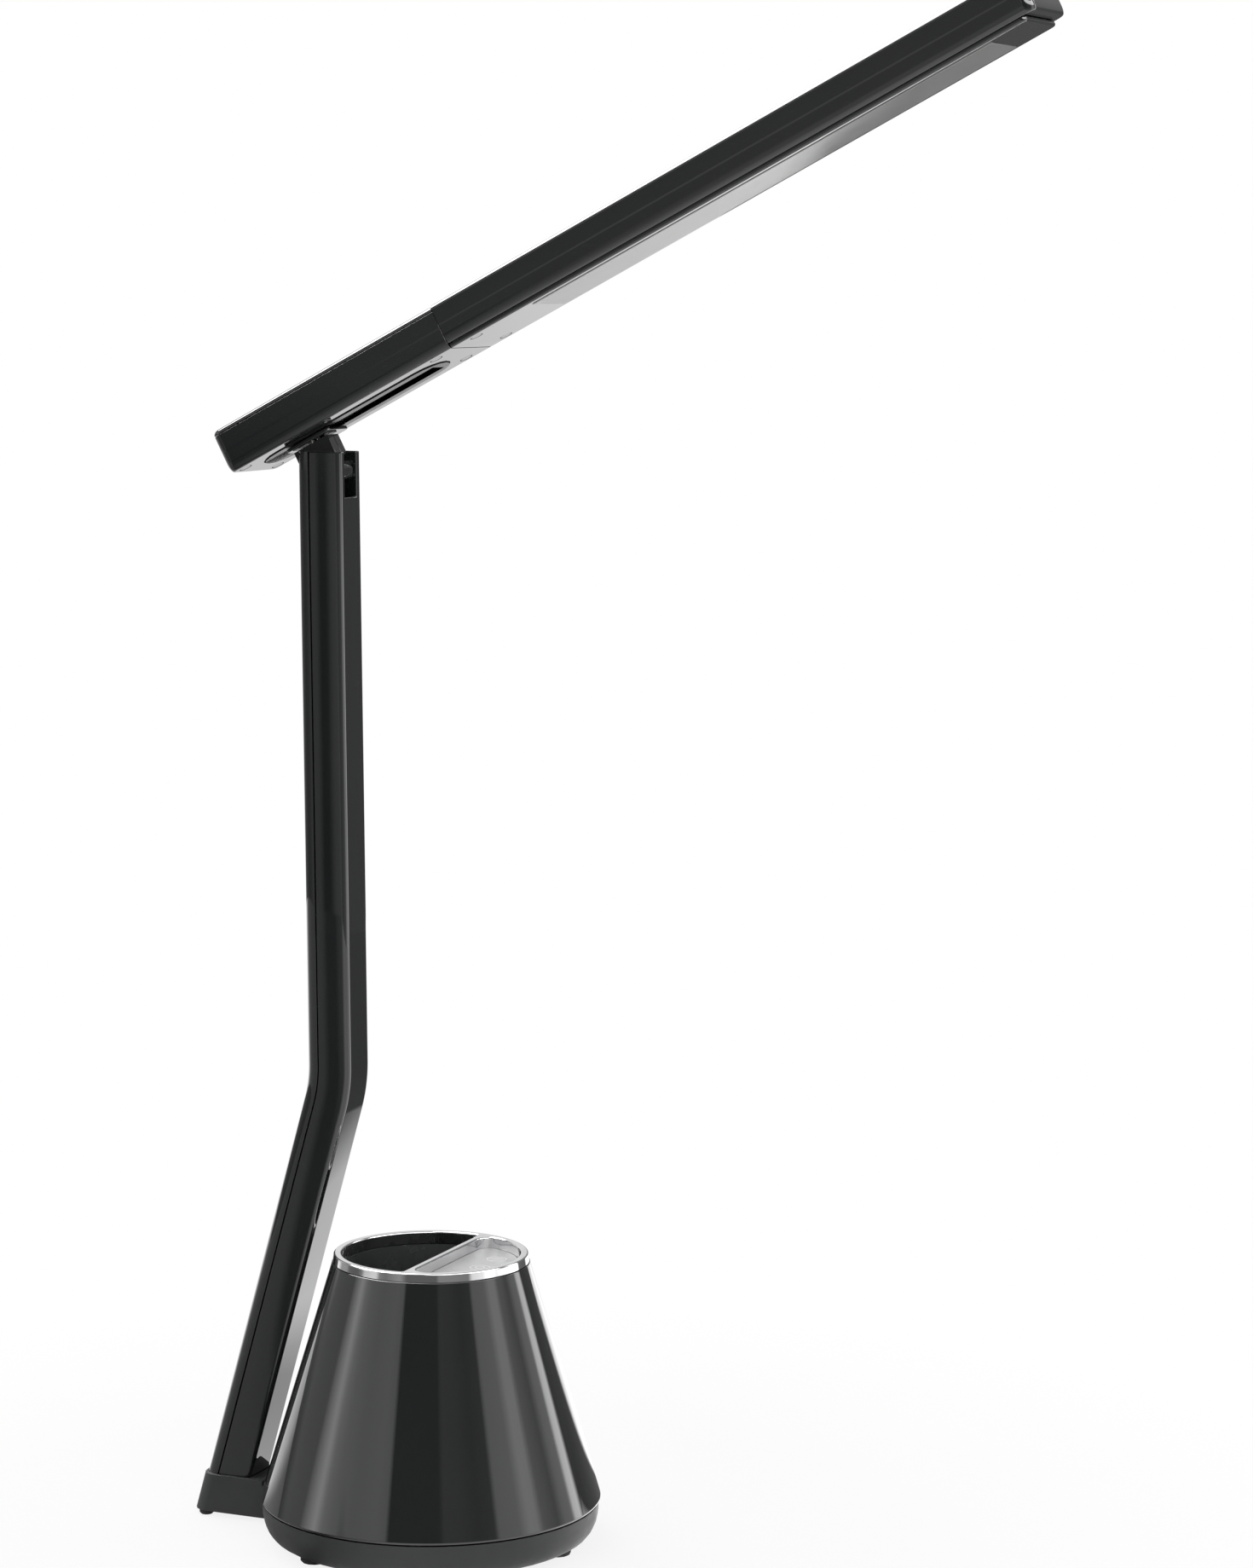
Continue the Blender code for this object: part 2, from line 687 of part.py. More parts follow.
def arm_stations(bottom, top):
    """Places up the arm's front face, each with the way that leads to its back."""
    turn = ARM_LEAN_LOW - ARM_LEAN_HIGH
    reach = KNEE_FRONT_RADIUS * math.tan(turn / 2)
    centre = Vector((
        KNEE_X - reach * math.sin(ARM_LEAN_LOW) - KNEE_FRONT_RADIUS * math.cos(ARM_LEAN_LOW),
        KNEE_HEIGHT - reach * math.cos(ARM_LEAN_LOW)
        + KNEE_FRONT_RADIUS * math.sin(ARM_LEAN_LOW),
    ))
    stations = [level_station(bottom)]
    for i in range(BEND_STEPS + 1):
        lean = ARM_LEAN_LOW - turn * i / BEND_STEPS
        back = Vector((-math.cos(lean), math.sin(lean)))
        stations.append((centre - KNEE_FRONT_RADIUS * back, back))
    stations.append(level_station(top))
    return stations


def level_station(height):
    """Level cut across one of the arm's straight runs."""
    lean = ARM_LEAN_LOW if height < KNEE_HEIGHT else ARM_LEAN_HIGH
    front = Vector((KNEE_X + (height - KNEE_HEIGHT) * math.tan(lean), height))
    return front, Vector((-1 / math.cos(lean), 0.0))


def arm_point(height, depth):
    """Point on the arm's middle plane, so far behind its front face."""
    front, back = level_station(height)
    return front + depth * back


def arm_sweep(outline, stations):
    """Body of one section, given in depth and width, through the arm's stations."""
    loops = []
    for front, back in stations:
        spots = [(front + depth * back, width) for depth, width in outline]
        loops.append([(spot.x, width, spot.y) for spot, width in spots])
    return loft(loops)


def arm_outline(grow=0.0):
    """The arm's whole section: flat front, rounded back corners."""
    half = ARM_WIDTH / 2 + grow
    back_round = ARM_DEPTH - ARM_SPLIT + grow
    return rounded([
        (-grow, -half, ARM_FRONT_CORNER), (ARM_DEPTH + grow, -half, back_round),
        (ARM_DEPTH + grow, half, back_round), (-grow, half, ARM_FRONT_CORNER),
    ])


def bowl_curve(floor_radius, rim_radius, low, high, steps):
    """Points up the bowl's rounded side, from its floor to its rim."""
    points = []
    for i in range(steps + 1):
        angle = math.radians(90) * i / steps
        points.append((
            floor_radius + (rim_radius - floor_radius) * math.sin(angle) ** BOWL_POWER,
            low + (high - low) * (1 - max(0.0, math.cos(angle)) ** BOWL_POWER),
        ))
    return points


def bowl(floor_radius, rim_radius, low, high, steps, sides):
    side = bowl_curve(floor_radius, rim_radius, low, high, steps)
    return lathe([(0.0, low)] + side + [(0.0, high)], sides)


def released(obj):
    """Bmesh of a helper body, which leaves the scene."""
    shape = bmesh.new()
    shape.from_mesh(obj.data)
    bpy.data.objects.remove(obj, do_unlink=True)
    return shape


def socket_block(plastic):
    """Sheared block behind the bowl, its back sloped like the arm's."""
    half = ARM_WIDTH / 2 + SOCKET_FIT + SOCKET_WALL
    loops = []
    for height in (TRAY_LIFT, SOCKET_TOP):
        rear = arm_point(height, ARM_DEPTH).x - SOCKET_FIT - SOCKET_BACK_WALL
        outline = slab_outline(rear, -TRAY_FLOOR_RADIUS, half, SOCKET_CORNER, 0.0)
        loops.append([(x, y, height) for x, y in outline])
    block = node("socket_block", loft(loops), plastic)
    reach = BASE_RADIUS + SOCKET_CONE_GAP
    low = TRAY_TOP - SOCKET_STEP
    above = SOCKET_TOP + CUT_OVERRUN
    edge = arc((reach + SOCKET_EDGE, SOCKET_TOP - SOCKET_EDGE), SOCKET_EDGE, math.pi,
               math.pi / 2, EDGE_STEPS)
    cut(block, lathe([(0.0, low), (reach, low)] + edge
                     + [(reach + SOCKET_EDGE, above), (0.0, above)]))
    return released(block)


def heel_pad_places():
    x = arm_point(TRAY_LIFT, ARM_DEPTH).x + HEEL_PAD_RADIUS + HEEL_PAD_INSET
    return [(x, side * HEEL_PAD_SPREAD, 0.0) for side in (-1, 1)]


def pads():
    """Each size of rubber foot with its name and places."""
    return [("rubber_foot", PAD_RADIUS, around(PAD_COUNT, PAD_CIRCLE)),
            ("heel_foot", HEEL_PAD_RADIUS, heel_pad_places())]


def arm_screw_places():
    x = arm_point(ARM_BOTTOM + ARM_SCREW_LENGTH / 2, ARM_SPLIT / 2).x
    return [(x, side * ARM_SCREW_SPREAD, 0.0) for side in (-1, 1)]


def ballast_places():
    return around(BALLAST_POST_COUNT, BALLAST_POST_CIRCLE, math.radians(60))


def tower_places():
    return around(TOWER_COUNT, TOWER_CIRCLE, math.radians(30))


def wire_channel(low, x_span):
    """Straight passage for the wire between the bowl and the arm's foot."""
    half = WIRE_BORE_RADIUS
    return box(x_span, (-half, half), (low, low + 2 * half))


def build_tray(plastic):
    tray = node("base_tray", bowl(TRAY_FLOOR_RADIUS, TRAY_RIM_RADIUS, TRAY_LIFT, TRAY_TOP,
                                  BOWL_STEPS, ROUND_SIDES), plastic)
    join(tray, socket_block(plastic))
    floor = TRAY_LIFT + TRAY_WALL
    cut(tray, bowl(TRAY_FLOOR_RADIUS - TRAY_WALL / 2, TRAY_RIM_RADIUS - TRAY_WALL, floor,
                   TRAY_TOP + SEAT_GAP, EDGE_STEPS, INNER_SIDES))
    cut(tray, arm_sweep(arm_outline(SOCKET_FIT),
                        [level_station(TRAY_LIFT + SOCKET_FLOOR),
                         level_station(SOCKET_TOP + CUT_OVERRUN)]))
    cut(tray, wire_channel(ARM_BOTTOM, (arm_point(ARM_BOTTOM, ARM_SPLIT / 2).x,
                                        CUT_OVERRUN - TRAY_FLOOR_RADIUS)))
    post_top = floor + BALLAST_THICKNESS - SEAT_GAP
    join(tray, rods(ballast_places(), BALLAST_POST_RADIUS, TRAY_LIFT + TRAY_WALL / 2,
                    post_top))
    cut(tray, rods(ballast_places(), BALLAST_SCREW_RADIUS + SCREW_GAP, floor,
                   post_top + CUT_OVERRUN, SCREW_SIDES))
    for _, radius, places in pads():
        cut(tray, rods(places, radius + SEAT_GAP, TRAY_LIFT - CUT_OVERRUN,
                       TRAY_LIFT + PAD_SEAT))
    for places, radius, head, height in (
            (tower_places(), BASE_SCREW_RADIUS, BASE_SCREW_HEAD, BASE_SCREW_HEAD_HEIGHT),
            (arm_screw_places(), ARM_SCREW_RADIUS, ARM_SCREW_HEAD, ARM_SCREW_HEAD_HEIGHT)):
        seat = TRAY_LIFT + height + SEAT_GAP
        cut(tray, rods(places, head + SCREW_GAP, TRAY_LIFT - CUT_OVERRUN, seat))
        cut(tray, rods(places, radius + SCREW_GAP, TRAY_LIFT, ARM_BOTTOM, SCREW_SIDES))


def build_feet(rubber):
    top = TRAY_LIFT + PAD_SEAT - SEAT_GAP
    for name, radius, places in pads():
        profile = [(0.0, 0.0), (radius - PAD_EDGE, 0.0), (radius, PAD_EDGE), (radius, top),
                   (0.0, top)]
        copies(name, lathe(profile, SMALL_SIDES), rubber, places)


def build_ballast(steel, zinc):
    low = TRAY_LIFT + TRAY_WALL + SEAT_GAP
    high = low + BALLAST_THICKNESS
    rim = BALLAST_RADIUS - BALLAST_CHAMFER
    plate = node("ballast_plate", lathe([
        (0.0, low), (rim, low), (BALLAST_RADIUS, low + BALLAST_CHAMFER),
        (BALLAST_RADIUS, high - BALLAST_CHAMFER), (rim, high), (0.0, high)],
        INNER_SIDES), steel)
    cut(plate, rods(ballast_places(), BALLAST_POST_RADIUS + SEAT_GAP, low - CUT_OVERRUN,
                    high + CUT_OVERRUN))
    half = WIRE_BORE_RADIUS
    cut(plate, box((-BASE_RADIUS, CUT_OVERRUN - BALLAST_POST_CIRCLE), (-half, half),
                   (low - CUT_OVERRUN, high + CUT_OVERRUN)))
    shoulder = high + SEAT_GAP
    copies("ballast_screw", screw(BALLAST_SCREW_RADIUS, low + SEAT_GAP, shoulder,
                                  BALLAST_SCREW_HEAD, BALLAST_SCREW_HEAD_HEIGHT, up=-1.0),
           zinc, ballast_places())


def cone_radius(height):
    """Radius of the cone's outer face."""
    return BASE_RADIUS - (height - CONE_BOTTOM - CONE_LIP) * CONE_SLOPE


def build_cone(gloss):
    lip_height = CONE_BOTTOM + CONE_LIP
    inner_low = cone_radius(lip_height) - CONE_WALL
    lip = arc((BASE_RADIUS - CONE_LIP, lip_height), CONE_LIP, math.radians(-90), 0.0,
              EDGE_STEPS)
    ledge_low = LEDGE_TOP - CONE_LEDGE
    ledge_radius = CUP_INNER_RADIUS + CUP_WALL + SEAT_GAP
    above = CONE_TOP + CUT_OVERRUN
    below = CONE_BOTTOM - CUT_OVERRUN
    cavity = node("cavity", lathe([
        (0.0, below), (inner_low, below), (inner_low, lip_height),
        (cone_radius(ledge_low) - CONE_WALL, ledge_low), (ledge_radius, ledge_low),
        (ledge_radius, LEDGE_TOP), (cone_radius(LEDGE_TOP) - CONE_WALL, LEDGE_TOP),
        (CONE_NECK_RADIUS, CONE_TOP), (CONE_NECK_RADIUS, above), (0.0, above)],
        INNER_SIDES), gloss)
    cut(cavity, moved(rod(INLET_BOSS_RADIUS, INLET_SEAT - INLET_BOSS_DEPTH,
                          BASE_RADIUS + CUT_OVERRUN, along="Y"), z=INLET_HEIGHT))
    cone = node("base_cone", lathe([(0.0, CONE_BOTTOM)] + lip + [
        (CONE_TOP_RADIUS, CONE_TOP), (0.0, CONE_TOP)]), gloss)
    cut(cone, released(cavity))
    join(cone, rods(tower_places(), TOWER_RADIUS, TOWER_BOTTOM, TOWER_TOP))
    cut(cone, rods(tower_places(), TOWER_BORE, TOWER_BOTTOM - CUT_OVERRUN,
                   TOWER_BOTTOM + TOWER_BORE_DEPTH, SCREW_SIDES))
    barrel = moved(rod(INLET_BARREL_RADIUS + SEAT_GAP, INLET_SEAT - INLET_BARREL_LENGTH,
                       INLET_SEAT + CUT_OVERRUN / 2, along="Y"), z=INLET_HEIGHT)
    flange = moved(rod(INLET_FLANGE_RADIUS + SEAT_GAP, INLET_SEAT,
                       BASE_RADIUS + CUT_OVERRUN, along="Y"), z=INLET_HEIGHT)
    cut(cone, barrel, flange)


def build_base_screws(zinc):
    shoulder = TRAY_LIFT + BASE_SCREW_HEAD_HEIGHT
    copies("base_screw", screw(BASE_SCREW_RADIUS, shoulder + BASE_SCREW_LENGTH, shoulder,
                               BASE_SCREW_HEAD, BASE_SCREW_HEAD_HEIGHT),
           zinc, tower_places())


def build_bezel(chrome):
    flare = arc((BEZEL_TOP_RADIUS - BEZEL_EDGE, BEZEL_TOP - BEZEL_EDGE), BEZEL_EDGE, 0.0,
                math.radians(90), EDGE_STEPS)
    bezel = node("chrome_bezel", lathe([
        (0.0, SLEEVE_BOTTOM), (SLEEVE_OUTER, SLEEVE_BOTTOM), (SLEEVE_OUTER, BEZEL_BOTTOM),
        (CONE_TOP_RADIUS - SEAT_GAP, BEZEL_BOTTOM)] + flare + [(0.0, BEZEL_TOP)]), chrome)
    low = SLEEVE_BOTTOM - CUT_OVERRUN
    cut(bezel,
        flared_d(BEZEL_HOLE_RADIUS, PANEL_FLAT, PANEL_CORNER, low, BEZEL_TOP, BEZEL_EDGE),
        flared_d(BEZEL_HOLE_RADIUS, -CUP_HOLE_FLAT, CUP_CORNER, low, BEZEL_TOP, BEZEL_EDGE,
                 side=-1.0))


def cup_body(radius, flat, low, high, draft, floor_round):
    """D shaped body of the cup's inside or outside, narrower at its foot."""
    levels = [(low, draft + floor_round), (low + floor_round, draft), (high, 0.0)]
    loops = []
    for height, shrink in levels:
        outline = d_outline(radius - shrink, shrink - flat, CUP_CORNER + CUP_WALL, side=-1.0)
        loops.append([(x, y, height) for x, y in outline])
    return loft(loops)


def build_cup(gloss):
    cup = node("pen_cup", rod(SLEEVE_OUTER, CUP_SEAT, CUP_TOP, ROUND_SIDES), gloss)
    join(cup, cup_body(CUP_INNER_RADIUS + CUP_WALL, CUP_OUTER_FLAT, CUP_FLOOR - CUP_WALL,
                       CUP_TOP - SEAT_GAP, CUP_DRAFT, CUP_FLOOR_ROUND))
    boss_end = CUP_OUTER_FLAT + BOARD_BOSS_HEIGHT
    join(cup, rods(board_screw_places(), BOARD_BOSS_RADIUS, CUP_INNER_FLAT - CUP_DRAFT,
                   boss_end, along="X"))
    cut(cup, cup_body(CUP_INNER_RADIUS, CUP_INNER_FLAT, CUP_FLOOR, CUP_TOP + CUT_OVERRUN,
                      CUP_DRAFT, CUP_FLOOR_ROUND))
    pocket = BEZEL_HOLE_RADIUS
    rest = PANEL_BOTTOM - SEAT_GAP
    cut(cup, prism(d_outline(pocket, PANEL_FLAT, PANEL_CORNER), rest, CUP_TOP + CUT_OVERRUN))
    cut(cup, prism(d_outline(pocket - DECK_RIM, PANEL_FLAT + DECK_RIM, PANEL_CORNER),
                   DECK_TOP, CUP_TOP))
    cut(cup, rods(board_screw_places(), BOARD_SCREW_RADIUS + SCREW_GAP, CUP_OUTER_FLAT,
                  boss_end + CUT_OVERRUN, SCREW_SIDES, along="X"))


def build_touch_parts(silver, board_green):
    radius = BEZEL_HOLE_RADIUS - SEAT_GAP
    flat = PANEL_FLAT + SEAT_GAP
    node("touch_panel", prism(d_outline(radius, flat, PANEL_CORNER - SEAT_GAP),
                              PANEL_BOTTOM, PANEL_TOP), silver)
    low = DECK_TOP + SEAT_GAP
    high = low + TOUCH_BOARD_THICKNESS
    inner = DECK_RIM + SEAT_GAP
    board = node("touch_board", prism(
        d_outline(radius - inner, flat + inner, PANEL_CORNER), low, high), board_green)
    middle = (flat + radius) / 2
    first = -TOUCH_PAD_SPACING * (TOUCH_PAD_COUNT - 1) / 2
    places = [(middle, first + TOUCH_PAD_SPACING * i, 0.0) for i in range(TOUCH_PAD_COUNT)]
    join(board, rods(places, TOUCH_PAD_RADIUS, low + TOUCH_BOARD_THICKNESS / 2,
                     PANEL_BOTTOM - SEAT_GAP))


def board_middle():
    return CUP_SEAT - BOARD_DROP - BOARD_HEIGHT / 2


def board_screw_places():
    y = BOARD_WIDTH / 2 - BOARD_EDGE
    z = BOARD_HEIGHT / 2 - BOARD_EDGE
    return [(0.0, side * y, board_middle() + side * z) for side in (-1, 1)]


def build_power_board(board_green, zinc):
    low = CUP_OUTER_FLAT + BOARD_BOSS_HEIGHT + SEAT_GAP
    high = low + BOARD_THICKNESS
    half = BOARD_WIDTH / 2
    middle = board_middle()
    span = (middle - BOARD_HEIGHT / 2, middle + BOARD_HEIGHT / 2)
    board = node("power_board", box((low, high), (-half, half), span), board_green)
    cut(board, rods(board_screw_places(), BOARD_SCREW_RADIUS + SCREW_GAP,
                    low - CUT_OVERRUN, high + CUT_OVERRUN, SCREW_SIDES, along="X"))
    root = high - BOARD_THICKNESS / 2
    chip = CHIP_WIDTH / 2
    coil = COIL_WIDTH / 2
    row = BOARD_HEIGHT / 4
    join(board,
         box((root, high + CHIP_THICKNESS), (-chip, chip), (middle - chip, middle + chip)),
         box((root, high + COIL_THICKNESS), (half / 2 - coil, half / 2 + coil),
             (middle - row - coil, middle - row + coil)),
         moved(rod(CAPACITOR_RADIUS, root, high + CAPACITOR_HEIGHT, along="X"),
               y=-half / 2, z=middle + row))
    copies("board_screw", turned(screw(BOARD_SCREW_RADIUS, CUP_OUTER_FLAT + SEAT_GAP,
                                       high + SEAT_GAP, BOARD_SCREW_HEAD,
                                       BOARD_SCREW_HEAD_HEIGHT, up=-1.0),
                                 math.radians(90), "Y"), zinc, board_screw_places())


def build_inlet(plastic, zinc):
    seat = INLET_SEAT + SEAT_GAP
    mouth = seat + INLET_FLANGE_THICKNESS
    back = mouth - INLET_BORE_DEPTH
    profile = [
        (0.0, mouth - INLET_BARREL_LENGTH), (INLET_BARREL_RADIUS, mouth - INLET_BARREL_LENGTH),
        (INLET_BARREL_RADIUS, seat), (INLET_FLANGE_RADIUS, seat),
        (INLET_FLANGE_RADIUS, mouth), (INLET_BORE_RADIUS, mouth), (INLET_BORE_RADIUS, back),
        (INLET_PIN_RADIUS, back), (INLET_PIN_RADIUS, mouth - INLET_PIN_SETBACK),
        (0.0, mouth - INLET_PIN_SETBACK),
    ]
    jack = turned(lathe(profile, SMALL_SIDES), math.radians(-90), "X")
    node("dc_inlet", moved(jack, z=INLET_HEIGHT), plastic)
    high = INLET_SEAT - INLET_BOSS_DEPTH - SEAT_GAP
    low = high - INLET_NUT_THICKNESS
    bore = INLET_BARREL_RADIUS + SEAT_GAP
    nut = node("inlet_nut", moved(rod(INLET_NUT_RADIUS, low, high, 6, along="Y"),
                                  z=INLET_HEIGHT), zinc)
    cut(nut, moved(rod(bore, low - CUT_OVERRUN, high + CUT_OVERRUN, along="Y"),
                   z=INLET_HEIGHT))


def build_arm(gloss, zinc, copper):
    half = ARM_WIDTH / 2
    stations = arm_stations(ARM_BOTTOM, ARM_TOP_HEIGHT)
    body = node("arm_body", arm_sweep(rounded([
        (0.0, -half, ARM_FRONT_CORNER), (ARM_SPLIT, -half, 0.0),
        (ARM_SPLIT, half, 0.0), (0.0, half, ARM_FRONT_CORNER)]), stations), gloss)
    inner = half - ARM_WALL
    hollow = [(ARM_WALL, -inner), (ARM_SPLIT + CUT_OVERRUN, -inner),
              (ARM_SPLIT + CUT_OVERRUN, inner), (ARM_WALL, inner)]
    foot_top = ARM_BOTTOM + ARM_FOOT_SOLID
    cheek_low = ARM_TOP_HEIGHT - CHEEK_HEIGHT
    cut(body, arm_sweep(hollow, arm_stations(foot_top, cheek_low)))
    slim = (NOTCH_HALF_WIDTH - SEAT_GAP) / inner
    throat = [(depth + SEAT_GAP, width * slim) for depth, width in hollow]
    cut(body, arm_sweep(throat, [level_station(cheek_low - CHEEK_TAPER),
                                 level_station(ARM_TOP_HEIGHT + CUT_OVERRUN)]))
    notch = [(-CUT_OVERRUN, -NOTCH_HALF_WIDTH), (ARM_SPLIT + 2 * CUT_OVERRUN, -NOTCH_HALF_WIDTH),
             (ARM_SPLIT + 2 * CUT_OVERRUN, NOTCH_HALF_WIDTH), (-CUT_OVERRUN, NOTCH_HALF_WIDTH)]
    cut(body, arm_sweep(notch, [level_station(ARM_TOP_HEIGHT - NOTCH_DEPTH_FRONT),
                                level_station(ARM_TOP_HEIGHT + CUT_OVERRUN)]))
    bite = NOTCH_HALF_WIDTH + PIN_BITE
    groove = PIN_RADIUS + SEAT_GAP
    cut(body, moved(rod(groove, -bite, bite, along="Y"), PIVOT_X, 0.0, PIVOT_HEIGHT))
    back = arm_point(PIVOT_HEIGHT, ARM_SPLIT).x - CUT_OVERRUN
    cut(body, box((back, PIVOT_X), (-bite, bite),
                  (PIVOT_HEIGHT - groove, PIVOT_HEIGHT + groove)))
    middle = ARM_SPLIT / 2
    bore = arm_sweep([(middle + x, y) for x, y in arc((0.0, 0.0), WIRE_BORE_RADIUS, 0.0,
                                                      math.radians(315), 7)],
                     [level_station(ARM_BOTTOM - CUT_OVERRUN),
                      level_station(foot_top + CUT_OVERRUN)])
    cut(body, bore, wire_channel(ARM_BOTTOM - SEAT_GAP,
                                 (arm_point(ARM_BOTTOM, middle).x,
                                  arm_point(ARM_BOTTOM, -CUT_OVERRUN).x)))
    cut(body, rods(arm_screw_places(), ARM_SCREW_RADIUS + SCREW_GAP,
                   ARM_BOTTOM - CUT_OVERRUN, ARM_BOTTOM + ARM_SCREW_LENGTH, SCREW_SIDES))
    build_arm_cover(gloss, stations)
    shoulder = TRAY_LIFT + ARM_SCREW_HEAD_HEIGHT
    copies("arm_screw", screw(ARM_SCREW_RADIUS, shoulder + ARM_SCREW_LENGTH, shoulder,
                              ARM_SCREW_HEAD, ARM_SCREW_HEAD_HEIGHT),
           zinc, arm_screw_places())
    build_arm_wire(copper, foot_top, cheek_low)


def build_arm_cover(gloss, stations):
    """Back shell of the arm, with the two keepers that hold the hinge pin."""
    half = ARM_WIDTH / 2
    face = ARM_SPLIT + SEAT_GAP
    back_round = ARM_DEPTH - ARM_SPLIT - SEAT_GAP
    cover = node("arm_rear_cover", arm_sweep(rounded([
        (face, -half, 0.0), (ARM_DEPTH, -half, back_round),
        (ARM_DEPTH, half, back_round), (face, half, 0.0)]), stations), gloss)
    inner = half - ARM_WALL
    deep = ARM_DEPTH - ARM_WALL
    trough = rounded([(ARM_SPLIT - CUT_OVERRUN, -inner, 0.0), (deep, -inner, ARM_WALL),
                      (deep, inner, ARM_WALL), (ARM_SPLIT - CUT_OVERRUN, inner, 0.0)])
    cheek_low = ARM_TOP_HEIGHT - CHEEK_HEIGHT
    cut(cover, arm_sweep(trough, arm_stations(ARM_BOTTOM + ARM_FOOT_SOLID, cheek_low)))
    notch = [(ARM_SPLIT - CUT_OVERRUN, -NOTCH_HALF_WIDTH),
             (ARM_DEPTH + CUT_OVERRUN, -NOTCH_HALF_WIDTH),
             (ARM_DEPTH + CUT_OVERRUN, NOTCH_HALF_WIDTH),
             (ARM_SPLIT - CUT_OVERRUN, NOTCH_HALF_WIDTH)]
    cut(cover, arm_sweep(notch, [level_station(ARM_TOP_HEIGHT - NOTCH_DEPTH_BACK),
                                 level_station(ARM_TOP_HEIGHT + CUT_OVERRUN)]))
    front = PIVOT_X - PIN_RADIUS - 2 * SEAT_GAP
    back = arm_point(PIVOT_HEIGHT, face).x - SEAT_GAP
    for side in (-1, 1):
        near = NOTCH_HALF_WIDTH + SEAT_GAP
        y_span = sorted((side * near, side * (near + KEEPER_THICKNESS)))
        join(cover, box((back, front), y_span,
                        (PIVOT_HEIGHT - PIN_RADIUS, PIVOT_HEIGHT + PIN_RADIUS)))


def build_arm_wire(copper, foot_top, cheek_low):
    """Lead from the bowl through the socket and up inside the arm."""
    middle = ARM_SPLIT / 2
    level = ARM_BOTTOM + WIRE_BORE_RADIUS
    spots = [
        Vector((BALLAST_POST_CIRCLE / 2 - TRAY_FLOOR_RADIUS, level)),
        Vector((-TRAY_FLOOR_RADIUS, level)),
        Vector((arm_point(level, 0.0).x, level)),
        Vector((arm_point(level, middle).x, level)),
        arm_point(foot_top / 2 + level / 2, middle),
        arm_point(foot_top, middle),
    ]
    rest = ARM_WALL + 2 * WIRE_RADIUS
    low = foot_top + CHEEK_HEIGHT
    for i in range(WIRE_STOPS + 1):
        front, back = arm_run(low + (cheek_low - low) * i / WIRE_STOPS)
        spots.append(front + rest * back)
    node("arm_wire", wire([(spot.x, 0.0, spot.y) for spot in spots], WIRE_RADIUS), copper)


def arm_run(height):
    """Front face point at a height and the way to the back, the knee's bend included."""
    bend = arm_stations(ARM_BOTTOM, ARM_TOP_HEIGHT)[1:-1]
    if bend[0][0].y < height < bend[-1][0].y:
        return min(bend, key=lambda station: abs(station[0].y - height))
    return level_station(height)


def build_pin(steel):
    reach = NOTCH_HALF_WIDTH + PIN_BITE - SEAT_GAP
    node("hinge_pin", moved(rod(PIN_RADIUS, -reach, reach, along="Y"), PIVOT_X, 0.0,
                            PIVOT_HEIGHT), steel)


def neck_outline():
    """Side of the neck: a nose round the pin, a waist and a block under the head."""
    level = NECK_BACK_LOW * math.cos(HEAD_ANGLE) - NECK_BACK * math.sin(HEAD_ANGLE)
    start = math.pi - math.asin(level / NECK_NOSE_RADIUS) - HEAD_ANGLE
    nose = arc((0.0, 0.0), NECK_NOSE_RADIUS, start, NECK_WAIST + math.tau,
               3 * CORNER_STEPS)
    block = rounded([
        (*nose[-1], 0.0), (NECK_FRONT, NECK_FRONT_LOW, NECK_CORNER),
        (NECK_FRONT, NECK_TOP, 0.0), (-NECK_BACK, NECK_TOP, 0.0),
        (-NECK_BACK, NECK_BACK_LOW, NECK_CORNER), (*nose[0], 0.0)])
    return nose + block[1:-1]


def carriage_screw_places():
    x = CARRIAGE_SCREW_HEAD + SEAT_GAP - NECK_BACK / 2
    return [(x, side * CARRIAGE_SCREW_SPREAD, 0.0) for side in (-1, 1)]


def carriage_bores(low, high):
    return rods(carriage_screw_places(), CARRIAGE_SCREW_RADIUS + SCREW_GAP, low, high,
                SCREW_SIDES)


def build_neck(gloss, steel, frame):
    outline = neck_outline()
    pocket = SLEEVE_RADIUS + SLEEVE_GAP
    tang = TANG_WIDTH / 2
    tip = SLEEVE_RADIUS + TANG_LENGTH
    for name, side in (("neck_half_near", -1), ("neck_half_far", 1)):
        span = sorted((side * NECK_HALF_GAP / 2, side * NECK_HALF_WIDTH))
        half = node(name, prism(outline, *span, along="Y"), gloss, frame)
        reach = NECK_HALF_WIDTH + CUT_OVERRUN
        cut(half, rod(pocket, -reach, reach, along="Y"))
        cut(half, box((-tang - SEAT_GAP, tang + SEAT_GAP),
                      (SEAT_GAP - NECK_HALF_WIDTH / 2, NECK_HALF_WIDTH / 2 - SEAT_GAP),
                      (0.0, tip + SEAT_GAP)))
        cut(half, rod(CARRIAGE_WIRE_RADIUS, tip, NECK_TOP + CUT_OVERRUN, SCREW_SIDES))
        cut(half, carriage_bores(NECK_TOP - CARRIAGE_SCREW_BITE, NECK_TOP + CUT_OVERRUN))
    reach = NECK_HALF_WIDTH - SEAT_GAP / 2
    sleeve = node("friction_sleeve", rod(SLEEVE_RADIUS, -reach, reach, along="Y"), steel,
                  frame)
    grip = NECK_HALF_WIDTH / 2 - 2 * SEAT_GAP
    join(sleeve, box((-tang, tang), (-grip, grip), (0.0, tip)))
    cut(sleeve, rod(PIN_RADIUS + SLEEVE_GAP, -reach - CUT_OVERRUN, reach + CUT_OVERRUN,
                    along="Y"))


